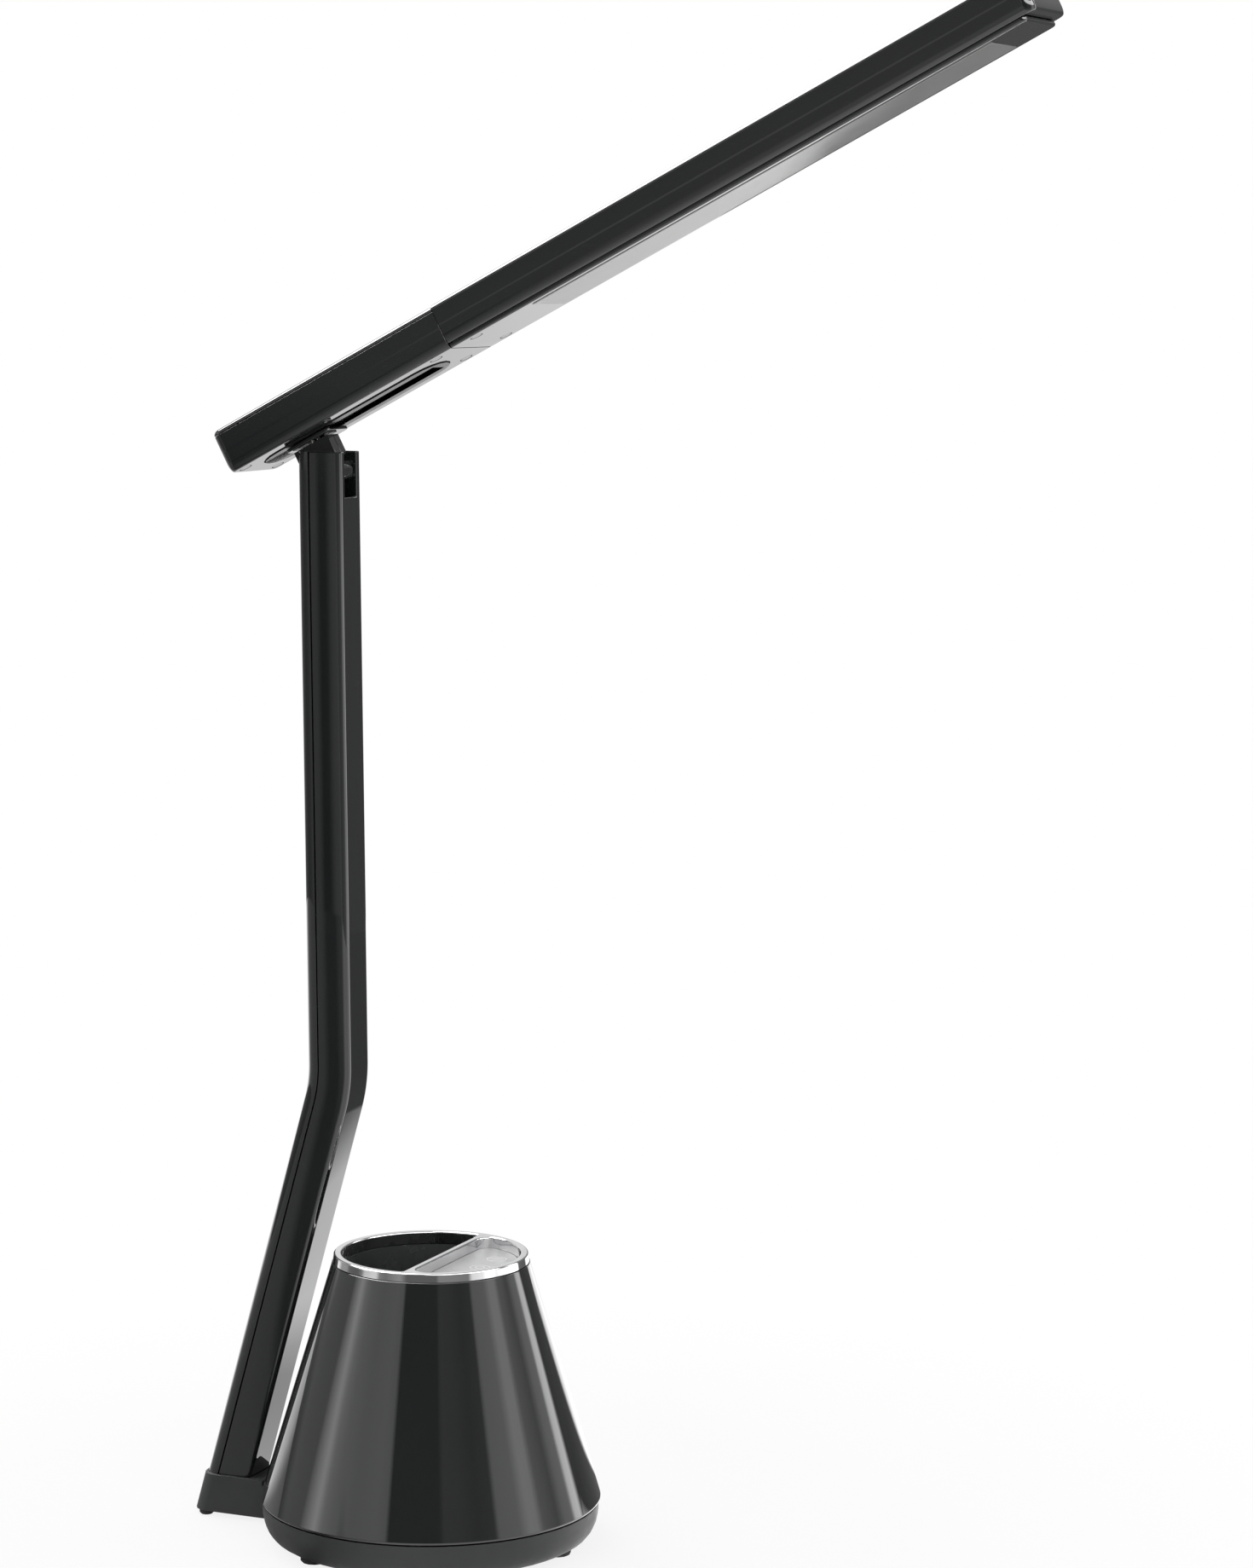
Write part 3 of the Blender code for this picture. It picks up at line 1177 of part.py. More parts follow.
def build_carriage(gloss, nylon, zinc, frame):
    half = SLOT_HALF_WIDTH - STEM_SIDE_GAP
    plate = pillow((-NECK_BACK - CARRIAGE_OVERLAP, CARRIAGE_FRONT),
                   CARRIAGE_HALF_WIDTH, (CARRIAGE_BOTTOM, CARRIAGE_TOP), CARRIAGE_CORNER,
                   CARRIAGE_CORNER, CARRIAGE_PLATE / 4, CARRIAGE_PLATE / 4)
    carriage = node("slide_carriage", plate, gloss, frame)
    join(carriage, box((STEM_BACK, STEM_FRONT), (-half, half),
                       (CARRIAGE_TOP - CARRIAGE_PLATE / 2, STEM_TOP)))
    low = CARRIAGE_BOTTOM - CUT_OVERRUN
    high = SHOE_TOP + CUT_OVERRUN
    cut(carriage, carriage_bores(low, high),
        rod(CARRIAGE_WIRE_RADIUS, low, high, SCREW_SIDES))
    shoe_half = SLOT_HALF_WIDTH + SHOE_OVERLAP
    shoe = node("slide_shoe", prism(slab_outline(
        -NECK_BACK, CARRIAGE_FRONT, shoe_half, CARRIAGE_CORNER, CARRIAGE_CORNER),
        SHOE_BOTTOM, SHOE_TOP), nylon, frame)
    cut(shoe, carriage_bores(low, high), rod(CARRIAGE_WIRE_RADIUS, low, high, SCREW_SIDES))
    shoulder = SHOE_TOP + SEAT_GAP
    tip = NECK_TOP - CARRIAGE_SCREW_BITE + SEAT_GAP
    copies("carriage_screw", screw(CARRIAGE_SCREW_RADIUS, tip, shoulder,
                                   CARRIAGE_SCREW_HEAD, CARRIAGE_SCREW_HEAD_HEIGHT,
                                   up=-1.0), zinc, carriage_screw_places(), frame)


def rear_casing():
    return pillow((HEAD_BACK, HEAD_SEAM + REAR_END_ROUND), REAR_HALF_WIDTH,
                  (HEAD_UNDERSIDE, REAR_TOP), REAR_END_ROUND, REAR_END_ROUND,
                  HEAD_LOW_ROUND, HEAD_TOP_ROUND, REAR_END_LOW_ROUND)


def beyond(x_span, z_span=None):
    """Block wider than the head, for cutting a casing at a seam."""
    reach = FRONT_HALF_WIDTH + CUT_OVERRUN
    z_span = z_span or (0.0, FRONT_TOP + CUT_OVERRUN)
    return box(x_span, (-reach, reach), z_span)


def screw_seats(places):
    """Cutters of a plug's recess with the screw's head above it and its shank."""
    low = HEAD_UNDERSIDE - CUT_OVERRUN
    recess = max(PLUG_RADIUS, HEAD_SCREW_HEAD) + SEAT_GAP
    seats = rods(places, recess, low, HEAD_SCREW_SHOULDER + SEAT_GAP)
    shanks = rods(places, HEAD_SCREW_RADIUS + SCREW_GAP, HEAD_UNDERSIDE,
                  BOSS_TOP + CUT_OVERRUN, SCREW_SIDES)
    return seats, shanks


def pair(x):
    return [(x, -HEAD_SCREW_SPREAD, 0.0), (x, HEAD_SCREW_SPREAD, 0.0)]


def build_rear_section(gloss, nylon, frame):
    seam = HEAD_SEAM - SEAT_GAP / 2
    far = HEAD_SEAM + REAR_END_ROUND + CUT_OVERRUN
    inner = REAR_HALF_WIDTH - HEAD_WALL
    trough = node("head_rear_trough", rear_casing(), gloss, frame)
    cut(trough, beyond((seam, far)))
    cut(trough, beyond((HEAD_BACK - CUT_OVERRUN, far),
                       (LID_BOTTOM - SEAT_GAP, REAR_TOP + CUT_OVERRUN)))
    corner = REAR_END_ROUND - HEAD_WALL
    cut(trough, prism(slab_outline(HEAD_BACK + HEAD_WALL, far, inner, corner, 0.0),
                      REAR_FLOOR, REAR_TOP))
    places = pair(END_SCREW_X) + pair(REAR_SEAM_SCREW_X)
    join(trough, rods(places, HEAD_BOSS_RADIUS, REAR_FLOOR - HEAD_WALL / 2, BOSS_TOP))
    cut(trough, *screw_seats(places))
    cut(trough, prism(stadium(TRACK_BACK - SEAT_GAP, TRACK_FRONT + SEAT_GAP,
                              TRACK_HALF_WIDTH + SEAT_GAP), HEAD_UNDERSIDE - CUT_OVERRUN,
                      REAR_FLOOR + CUT_OVERRUN))

    lid = node("head_rear_lid", rear_casing(), gloss, frame)
    cut(lid, beyond((seam, far)))
    cut(lid, beyond((HEAD_BACK - CUT_OVERRUN, far), (0.0, LID_BOTTOM)))
    rib_low = LID_BOTTOM - LID_RIB_DEPTH
    outer = inner - SEAT_GAP
    for side in (-1, 1):
        y_span = sorted((side * outer, side * (outer - LID_RIB)))
        join(lid, box((HEAD_BACK + REAR_END_ROUND, HEAD_SEAM - COUPLER_REACH - SEAT_GAP),
                      y_span, (rib_low, LID_BOTTOM + LID_THICKNESS / 2)))
    join(lid, rods(pair(END_SCREW_X), LID_POST_RADIUS, POST_BOTTOM,
                   LID_BOTTOM + LID_THICKNESS / 2))
    cut(lid, rods(pair(END_SCREW_X), HEAD_SCREW_RADIUS + SCREW_GAP,
                  POST_BOTTOM - CUT_OVERRUN, POST_BOTTOM + HEAD_SCREW_BITE + SEAT_GAP,
                  SCREW_SIDES))

    track = node("track_insert", prism(stadium(TRACK_BACK, TRACK_FRONT, TRACK_HALF_WIDTH),
                                       TRACK_FACE, TRACK_TOP), nylon, frame)
    join(track, prism(stadium(TRACK_BACK - TRACK_FLANGE, TRACK_FRONT + TRACK_FLANGE,
                              TRACK_HALF_WIDTH + TRACK_FLANGE), TRACK_SEAT, TRACK_TOP))
    cut(track, box((SLOT_BACK, SLOT_FRONT), (-SLOT_HALF_WIDTH, SLOT_HALF_WIDTH),
                   (TRACK_FACE - CUT_OVERRUN, TRACK_TOP + CUT_OVERRUN)))


def build_coupler(plastic, frame):
    """Channel that bridges the seam between the head's two sections."""
    half = REAR_HALF_WIDTH - HEAD_WALL - SEAT_GAP
    inner = half - COUPLER_WALL
    low = POST_BOTTOM
    high = low + COUPLER_HEIGHT
    outline = [(-half, low), (half, low), (half, high), (inner, high), (inner, COUPLER_TOP),
               (-inner, COUPLER_TOP), (-inner, high), (-half, high)]
    coupler = node("section_coupler", prism(outline, HEAD_SEAM - COUPLER_REACH,
                                            HEAD_SEAM + COUPLER_REACH, along="X"),
                   plastic, frame)
    cut(coupler, rods(pair(REAR_SEAM_SCREW_X) + pair(FRONT_SEAM_SCREW_X),
                      HEAD_SCREW_RADIUS + SCREW_GAP, low - CUT_OVERRUN,
                      COUPLER_TOP + CUT_OVERRUN, SCREW_SIDES))


def build_front_section(gloss, frame):
    seam = HEAD_SEAM + SEAT_GAP / 2
    near = HEAD_SEAM - FRONT_TIP_ROUND
    shell = node("head_front_shell", pillow(
        (near, HEAD_TIP), FRONT_HALF_WIDTH, (FRONT_BOTTOM, FRONT_TOP), FRONT_TIP_ROUND,
        FRONT_TIP_ROUND, FRONT_LOW_ROUND, HEAD_TOP_ROUND), gloss, frame)
    cut(shell, beyond((near - CUT_OVERRUN, seam)))
    inner = FRONT_HALF_WIDTH - HEAD_WALL
    corner = FRONT_TIP_ROUND - HEAD_WALL
    low = FRONT_BOTTOM - CUT_OVERRUN
    tip = LOWER_TIP - SEAT_GAP
    cut(shell, prism(slab_outline(near - CUT_OVERRUN, tip, inner, 0.0, corner), low,
                     FRONT_ROOF))
    cut(shell, prism(slab_outline(tip - CUT_OVERRUN, HEAD_TIP - HEAD_WALL, inner, 0.0,
                                  corner), FRONT_BOTTOM + TIP_LEDGE, FRONT_ROOF))

    half = FRONT_HALF_WIDTH - LOWER_INSET
    start = HEAD_SEAM + SEAT_GAP / 2
    frame_back = start - LOWER_CORNER
    lower = node("lower_frame", pillow(
        (frame_back, LOWER_TIP), half, (HEAD_UNDERSIDE, LOWER_TOP), LOWER_CORNER,
        LOWER_CORNER, LOWER_EDGE, 0.0), gloss, frame)
    cut(lower, beyond((frame_back - CUT_OVERRUN, start)))
    rim = inner - SEAT_GAP
    rim_back = start + LOWER_RIM
    rim_tip = tip - SEAT_GAP
    rim_top = LOWER_TOP + LOWER_RIM_HEIGHT
    join(lower, prism(slab_outline(rim_back, rim_tip, rim, 0.0, corner),
                      LOWER_TOP - LOWER_PLATE / 2, rim_top))
    cut(lower, prism(slab_outline(rim_back + LOWER_RIM, rim_tip - LOWER_RIM,
                                  rim - LOWER_RIM, 0.0, 0.0), LOWER_TOP,
                     rim_top + CUT_OVERRUN))
    places = pair(FRONT_SEAM_SCREW_X)
    join(lower, rods(places, HEAD_BOSS_RADIUS, LOWER_TOP - LOWER_PLATE / 2, BOSS_TOP))
    cut(lower, *screw_seats(places))
    cut(lower, box((WINDOW_BACK, WINDOW_FRONT), (-WINDOW_HALF_WIDTH, WINDOW_HALF_WIDTH),
                   (HEAD_UNDERSIDE - CUT_OVERRUN, LOWER_TOP + CUT_OVERRUN)))


def build_light(milk, white, frame):
    back = WINDOW_BACK + SEAT_GAP
    front = WINDOW_FRONT - SEAT_GAP
    half = WINDOW_HALF_WIDTH - SEAT_GAP
    grow = DIFFUSER_FLANGE
    diffuser = node("diffuser", box((back, front), (-half, half),
                                    (HEAD_UNDERSIDE - DIFFUSER_PROUD, DIFFUSER_TOP)),
                    milk, frame)
    join(diffuser, box((back - grow, front + grow), (-half - grow, half + grow),
                       (DIFFUSER_SEAT, DIFFUSER_TOP)))
    board = node("led_board", box((back, front), (-LED_BOARD_HALF_WIDTH, LED_BOARD_HALF_WIDTH),
                                  (LED_BOARD_BOTTOM, LED_BOARD_TOP)), white, frame)
    pitch = (front - back) / LED_COLUMNS
    columns = [back + pitch * (i + 0.5) for i in range(LED_COLUMNS)]
    join(board, gather([
        box((x - LED_LENGTH / 2, x + LED_LENGTH / 2), (y - LED_WIDTH / 2, y + LED_WIDTH / 2),
            (LED_BOARD_BOTTOM - LED_THICKNESS, LED_BOARD_TOP - LED_BOARD_THICKNESS / 2))
        for x in columns for y in (-LED_ROW_OFFSET, LED_ROW_OFFSET)]))
    top = LED_BOARD_BOTTOM - SEAT_GAP
    low = DIFFUSER_TOP + SEAT_GAP
    wall = LIGHT_BOX_WALL
    loops = []
    for height, spread in ((low, half), (top, LED_BOARD_HALF_WIDTH)):
        ends = spread - half
        loops.append((height, back - ends, front + ends, spread))
    light_box = node("light_box", loft([
        [(x, y, height) for x, y in ((x0, -s), (x1, -s), (x1, s), (x0, s))]
        for height, x0, x1, s in loops]), white, frame)
    cut(light_box, loft([
        [(x, y, height) for x, y in ((x0 + wall, wall - s), (x1 - wall, wall - s),
                                     (x1 - wall, s - wall), (x0 + wall, s - wall))]
        for height, x0, x1, s in ((low - CUT_OVERRUN, back, front, half),
                                  (top + CUT_OVERRUN, back, front, LED_BOARD_HALF_WIDTH))]))


def build_head_fasteners(rubber, zinc, copper, frame):
    places = pair(END_SCREW_X) + pair(REAR_SEAM_SCREW_X) + pair(FRONT_SEAM_SCREW_X)
    tip = POST_BOTTOM + HEAD_SCREW_BITE - SEAT_GAP
    shoulder = HEAD_SCREW_SHOULDER
    copies("head_screw", screw(HEAD_SCREW_RADIUS, tip, shoulder, HEAD_SCREW_HEAD,
                               HEAD_SCREW_HEAD_HEIGHT), zinc, places, frame)
    low = HEAD_UNDERSIDE + PLUG_SINK
    copies("screw_plug", rod(PLUG_RADIUS, low, low + PLUG_THICKNESS), rubber, places, frame)
    level = LID_BOTTOM - WIRE_CLEAR - WIRE_RADIUS
    route = [(CARRIAGE_FRONT, 0.0, level), (HEAD_SEAM / 2, 0.0, level), (HEAD_SEAM, 0.0, level),
             (WINDOW_BACK - LED_LENGTH, 0.0, LED_BOARD_BOTTOM)]
    node("head_wire", wire(route, WIRE_RADIUS), copper, frame)


def build_lamp():
    clear_scene()
    gloss = finish_material("gloss_black", (0.012, 0.013, 0.013), 0.12)
    matte = finish_material("matte_black", (0.020, 0.020, 0.021), 0.48)
    chrome = finish_material("chrome", (0.80, 0.80, 0.82), 0.07, 1.0)
    silver = finish_material("panel_silver", (0.52, 0.52, 0.51), 0.35, 0.3)
    milk = finish_material("milky_white", (0.80, 0.81, 0.80), 0.35, 0.0, 0.3)
    white = finish_material("white_coat", (0.82, 0.82, 0.80), 0.5)
    rubber = finish_material("rubber", (0.025, 0.025, 0.025), 0.8)
    nylon = finish_material("black_nylon", (0.015, 0.015, 0.016), 0.3)
    zinc = finish_material("zinc_screw", (0.60, 0.60, 0.58), 0.3, 1.0)
    steel = finish_material("steel", (0.48, 0.48, 0.49), 0.35, 1.0)
    board_green = finish_material("board_green", (0.03, 0.16, 0.07), 0.4)
    copper = finish_material("wire_black", (0.03, 0.03, 0.03), 0.5)

    build_tray(matte)
    build_feet(rubber)
    build_ballast(steel, zinc)
    build_cone(gloss)
    build_base_screws(zinc)
    build_bezel(chrome)
    build_cup(gloss)
    build_touch_parts(silver, board_green)
    build_power_board(board_green, zinc)
    build_inlet(matte, zinc)
    build_arm(gloss, zinc, copper)
    build_pin(steel)

    tilt = frame_empty("tilt_axis", (PIVOT_X, 0.0, PIVOT_HEIGHT), HEAD_ANGLE)
    slide = frame_empty("slide_axis", (0.0, 0.0, 0.0), parent=tilt)
    build_neck(gloss, steel, tilt)
    build_carriage(gloss, nylon, zinc, tilt)
    build_rear_section(gloss, nylon, slide)
    build_coupler(matte, slide)
    build_front_section(gloss, slide)
    build_light(milk, white, slide)
    build_head_fasteners(rubber, zinc, copper, slide)


build_lamp()
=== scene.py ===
"""Looks of an LED desk lamp: a glossy black base with a pen cup and a touch panel,
a bent arm, and a long head with a milky light window.

Lengths are in metres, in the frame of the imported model: z = 0 is the desk, the base's
axis is x = y = 0, the head reaches along +X. The head's pieces are drawn in the head's
own frame: x along it, y across it, z square to its underside, the hinge at the origin.
"""
import json
import math

import bmesh
import bpy
from mathutils import Matrix, Vector

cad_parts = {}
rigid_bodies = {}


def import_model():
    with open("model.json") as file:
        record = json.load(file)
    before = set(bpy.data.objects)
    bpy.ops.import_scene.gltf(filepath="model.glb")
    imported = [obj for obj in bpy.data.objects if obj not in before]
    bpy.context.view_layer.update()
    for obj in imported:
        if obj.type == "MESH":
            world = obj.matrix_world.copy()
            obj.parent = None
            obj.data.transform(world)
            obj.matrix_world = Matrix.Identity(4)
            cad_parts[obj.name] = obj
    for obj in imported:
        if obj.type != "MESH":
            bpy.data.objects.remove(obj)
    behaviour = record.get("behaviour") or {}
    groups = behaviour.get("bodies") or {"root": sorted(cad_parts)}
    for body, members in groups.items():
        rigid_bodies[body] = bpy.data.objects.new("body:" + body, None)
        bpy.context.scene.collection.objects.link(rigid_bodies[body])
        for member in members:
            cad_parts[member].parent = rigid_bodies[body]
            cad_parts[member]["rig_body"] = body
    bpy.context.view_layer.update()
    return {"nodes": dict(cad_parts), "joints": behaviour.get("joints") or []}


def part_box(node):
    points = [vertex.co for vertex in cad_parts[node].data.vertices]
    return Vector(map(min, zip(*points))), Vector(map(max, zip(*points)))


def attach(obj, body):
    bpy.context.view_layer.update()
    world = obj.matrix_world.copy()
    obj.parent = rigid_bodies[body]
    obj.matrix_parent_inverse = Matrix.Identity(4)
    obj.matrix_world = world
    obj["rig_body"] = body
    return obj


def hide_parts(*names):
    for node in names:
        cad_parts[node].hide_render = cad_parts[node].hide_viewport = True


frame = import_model()

# Camera: where the photograph was taken from
CAMERA_PLACE = (0.6365, -1.3297, 0.4468)
CAMERA_YAW = math.radians(22.95)
CAMERA_PITCH = math.radians(-6.88)
CAMERA_ROLL = math.radians(0.36)
CAMERA_LENS_MM = 98.25
SENSOR_MM = 36.0
CAMERA_NEAR = 0.05
CAMERA_FAR = 50.0

# Clearances and roundness
SEAT_GAP = 0.0003
OVERRUN = 0.004
ROUND_SIDES = 192
SMALL_SIDES = 32
CORNER_STEPS = 10
EDGE_STEPS = 8
BEND_STEPS = 28
D_ARC_STEPS = 96
RING_SIDES = 64
DISC_SIDES = 60
WALL_SIDES = 96
QUARTER_TURN = math.radians(90)
FLAT_ANGLE = math.radians(0.6)
SHARP_ANGLE = math.radians(32)
BREAK_SEGMENTS = 2
FLAT_FACE_WEIGHT = 60
WELD = 1e-6

# Sizes that the frame's boxes don't give
CONE_LIP = 0.0012
CONE_TOP_RADIUS = 0.03485
CONE_TOP_EDGE = 0.0003
CONE_WALL = 0.0022
INLET_BOSS_RADIUS = 0.0075
INLET_BOSS_DEPTH = 0.0050
INLET_SINK = 0.0005
BEZEL_TOP_RADIUS = 0.0342
BEZEL_HOLE_RADIUS = 0.0314
BEZEL_EDGE = 0.0006
BEZEL_SLEEVE = 0.0014
DIVIDER_OFFSET = 0.0052
DIVIDER_WIDTH = 0.0024
PANEL_CORNER = 0.0046
CUP_CORNER = 0.0010
PANEL_EDGE = 0.0002
ARM_SPLIT = 0.0120
ARM_DEPTH = 0.0178
ARM_FRONT_CORNER = 0.0020
ARM_BACK_CORNER = 0.0055
ARM_LEAN_LOW = math.radians(15.67)
ARM_LEAN_HIGH = math.radians(-0.87)
KNEE_X = -0.02789
KNEE_HEIGHT = 0.15934
KNEE_FRONT_RADIUS = 0.0610
ARM_EDGE = 0.0004
ARM_CROWN = 0.00012
CHEEK_WIDTH = 0.0040
NOTCH_DEPTH_FRONT = 0.0157
NOTCH_DEPTH_BACK = 0.0058
HEAD_ANGLE = math.radians(27.76)
HEAD_WALL = 0.0018
HEAD_TOP_ROUND = 0.0017
HEAD_LOW_ROUND = 0.0018
HEAD_LOW_RISE = 0.0034
REAR_END_ROUND = 0.0034
REAR_END_LOW_ROUND = 0.0012
FRONT_TIP_ROUND = 0.0036
FRONT_LOW_ROUND = 0.0010
SIDE_STEP = 0.00010
STEP_RISE = 0.00050
STEP_GUARD = 0.00010
LID_THICKNESS = 0.0017
TIP_LEDGE = 0.0026
LOWER_TIP_INSET = 0.0045
TRACK_FLANGE = 0.0018
BREAK_WIDTH = 0.00018
PLUG_COUNT = 6
PLUG_RECESS = 0.00005
PLUG_EDGE = 0.00008
RING_SPACING = 0.0140
RING_RADIUS = 0.0036
RING_LINE = 0.00035
RING_HEIGHT = 0.00005

# Share of a noise's range that its lowest and highest shade are tied to
NOISE_LOW = 0.3
NOISE_HIGH = 0.7
ROUGH_DETAIL = 3.0

# The studio: a round white table in a far room with tall soft lights and dark cards
TABLE_RADIUS = 1.5
TABLE_BOTTOM = -0.01
TABLE_TOP = -0.00001
TABLE_TONE = 0.88
TABLE_ROUGHNESS = 0.9
TABLE_FADE = 0.35
TABLE_GLOW = 0.85
AMBIENT = 0.60
ROOM_RADIUS = 8.0
ROOM_LOW = -5.0
ROOM_HIGH = 9.0
ROOM_PEAK = 12.0
ROOM_BEARING = math.radians(-64.4)
CEILING_HEIGHT = 6.0

# Lamps that light the scene without being mirrored: name, place, side and own brightness
LAMP_TARGET = (0.02, 0.0, 0.28)
LAMPS = (
    ("key", (-0.6, -2.2, 1.5), 1.2, 1.9),
    ("fill", (2.0, -1.2, 1.0), 1.2, 0.9),
    ("back", (-1.5, 0.9, 1.45), 0.9, 2.0),
)

# Brightness that glossy surfaces see, by the bearing from the lamp in degrees: 0 is the
# camera. Bands lie above the wall's lowest part, each with the heights between which it
# takes over from the one below it.
ROOM_LOW_LIGHTS = (
    (-180, 0.60), (-150, 0.20), (-127, 0.16), (-97, 0.12), (-75, 0.18), (-66, 0.27),
    (-59, 0.25), (-55, 0.05), (-50, 0.05), (-46, 0.26), (-40, 0.42), (-33, 0.45),
    (-28, 0.25), (6, 0.30), (44, 0.50), (48, 0.90), (62, 1.3), (70, 1.8), (81, 1.4),
    (94, 1.4), (109, 1.6), (112, 2.6), (118, 2.6), (122, 0.15), (168, 0.10), (180, 0.60),
)
ROOM_BANDS = (
    ((-0.05, 0.20), (
        (-180, 0.70), (-137, 0.75), (-127, 0.30), (-97, 0.42), (-91, 1.10), (-84, 1.9),
        (-78, 1.1), (-71, 0.90), (-66, 0.80), (-62, 0.24), (-54, 0.18), (-43, 0.26),
        (-36, 0.30), (-28, 0.12), (6, 0.12), (9, 0.25), (44, 0.22), (48, 0.85), (62, 1.0),
        (70, 1.6), (76, 1.5), (81, 0.72), (94, 0.42), (101, 0.8), (109, 0.8), (112, 2.6),
        (118, 2.6), (122, 0.15), (168, 0.10), (180, 0.60))),
    ((1.50, 1.75), (
        (-180, 0.80), (-137, 0.75), (-126, 0.35), (-105, 0.32), (-97, 0.48), (-91, 1.15),
        (-84, 2.0), (-77, 1.15), (-70, 0.90), (-55, 0.77), (-38, 0.85), (-31, 0.76),
        (-28.5, 0.12), (6, 0.12), (9, 0.27), (20, 0.25), (32, 0.19), (44, 0.24), (47, 0.92),
        (62, 1.0), (69, 1.6), (76, 1.55), (81, 0.75), (89, 0.72), (94, 0.42), (103, 0.8),
        (109, 0.8), (112, 2.6), (118, 2.6), (122, 0.18), (160, 0.30), (180, 0.80))),
    ((3.4, 4.0), (
        (-180, 0.75), (-140, 0.60), (-130, 0.10), (-58, 0.10), (-45, 0.60), (-10, 0.60),
        (2, 6.0), (90, 6.0), (96, 0.10), (110, 0.10), (113, 2.0), (128, 2.0), (133, 0.50),
        (150, 0.20), (165, 0.30), (180, 0.75))),
)
CEILING_LIGHTS = (
    (-180, 0.7), (-166, 0.7), (-158, 11.0), (-72, 11.0), (-66, 0.4), (-10, 0.3), (20, 0.9),
    (96, 0.9), (110, 0.3), (150, 0.5), (180, 0.7),
)
TABLE_SHEEN = (
    (-180, 0.85), (-150, 1.0), (-134, 1.0), (-126, 0.35), (-70, 0.32), (-60, 0.27),
    (-55, 0.08), (-48, 0.08), (-42, 0.35), (-32, 0.60), (-15, 0.95), (44, 0.95),
    (62, 1.3), (80, 1.4), (108, 1.6), (112, 2.4), (118, 2.4), (122, 0.13), (141, 0.12),
    (145, 1.5), (155, 1.7), (163, 1.1), (170, 0.85), (180, 0.85),
)


def clear_defaults():
    for obj in list(bpy.data.objects):
        if obj.type in ("CAMERA", "LIGHT"):
            bpy.data.objects.remove(obj, do_unlink=True)


# Shapes

def loft(loops, ring=False):
    """Body through loops of as many points each: flat at its ends, or a ring."""
    shape = bmesh.new()
    rows = [[shape.verts.new(point) for point in loop] for loop in loops]
    count = len(rows[0])
    for row, after in zip(rows, rows[1:] + rows[:1] if ring else rows[1:]):
        for i in range(count):
            j = (i + 1) % count
            shape.faces.new((row[i], row[j], after[j], after[i]))
    if not ring:
        shape.faces.new(reversed(rows[0]))
        shape.faces.new(rows[-1])
    return shape


def prism(outline, low, high):
    return loft([[(x, y, z) for x, y in outline] for z in (low, high)])


def box(x_span, y_span, z_span):
    x0, x1 = x_span
    y0, y1 = y_span
    return prism([(x0, y0), (x1, y0), (x1, y1), (x0, y1)], *z_span)


def lathe(profile, sides=ROUND_SIDES):
    """Body turned about Z: a solid if its outline starts and ends on the axis."""
    solid = not profile[0][0]
    rows = profile[1:-1] if solid else profile
    angles = [math.tau * i / sides for i in range(sides)]
    loops = [[(radius * math.cos(a), radius * math.sin(a), height) for a in angles]
             for radius, height in rows]
    return loft(loops, ring=not solid)


def rod(radius, low, high, sides=SMALL_SIDES, along="Z"):
    shape = lathe([(0.0, low), (radius, low), (radius, high), (0.0, high)], sides)
    if along == "Y":
        turn = Matrix.Rotation(-QUARTER_TURN, 3, "X")
        bmesh.ops.rotate(shape, verts=shape.verts, cent=(0.0, 0.0, 0.0), matrix=turn)
    return shape


def moved(shape, x=0.0, y=0.0, z=0.0):
    bmesh.ops.translate(shape, verts=shape.verts, vec=(x, y, z))
    return shape


def arc(centre, radius, start, end, steps):
    angles = [start + (end - start) * i / steps for i in range(steps + 1)]
    return [(centre[0] + radius * math.cos(a), centre[1] + radius * math.sin(a))
            for a in angles]


def rounded(corners):
    """Outline through corners of x, y and the radius that turns each one."""
    outline = []
    count = len(corners)
    for i, (x, y, radius) in enumerate(corners):
        here = Vector((x, y))
        if not radius:
            outline.append((x, y))
            continue
        back = (Vector(corners[i - 1][:2]) - here).normalized()
        ahead = (Vector(corners[(i + 1) % count][:2]) - here).normalized()
        half = math.acos(max(-1.0, min(1.0, back.dot(ahead)))) / 2
        centre = here + (back + ahead).normalized() * (radius / math.sin(half))
        reach = radius / math.tan(half)
        first = here + back * reach - centre
        last = here + ahead * reach - centre
        start = math.atan2(first.y, first.x)
        turn = math.atan2(last.y, last.x) - start
        turn = (turn + math.pi) % math.tau - math.pi
        outline += arc(centre, radius, start, start + turn, CORNER_STEPS)
    return outline


def slab_outline(x0, x1, half, back_round, front_round):
    return rounded([
        (x0, -half, back_round), (x1, -half, front_round),
        (x1, half, front_round), (x0, half, back_round),
    ])


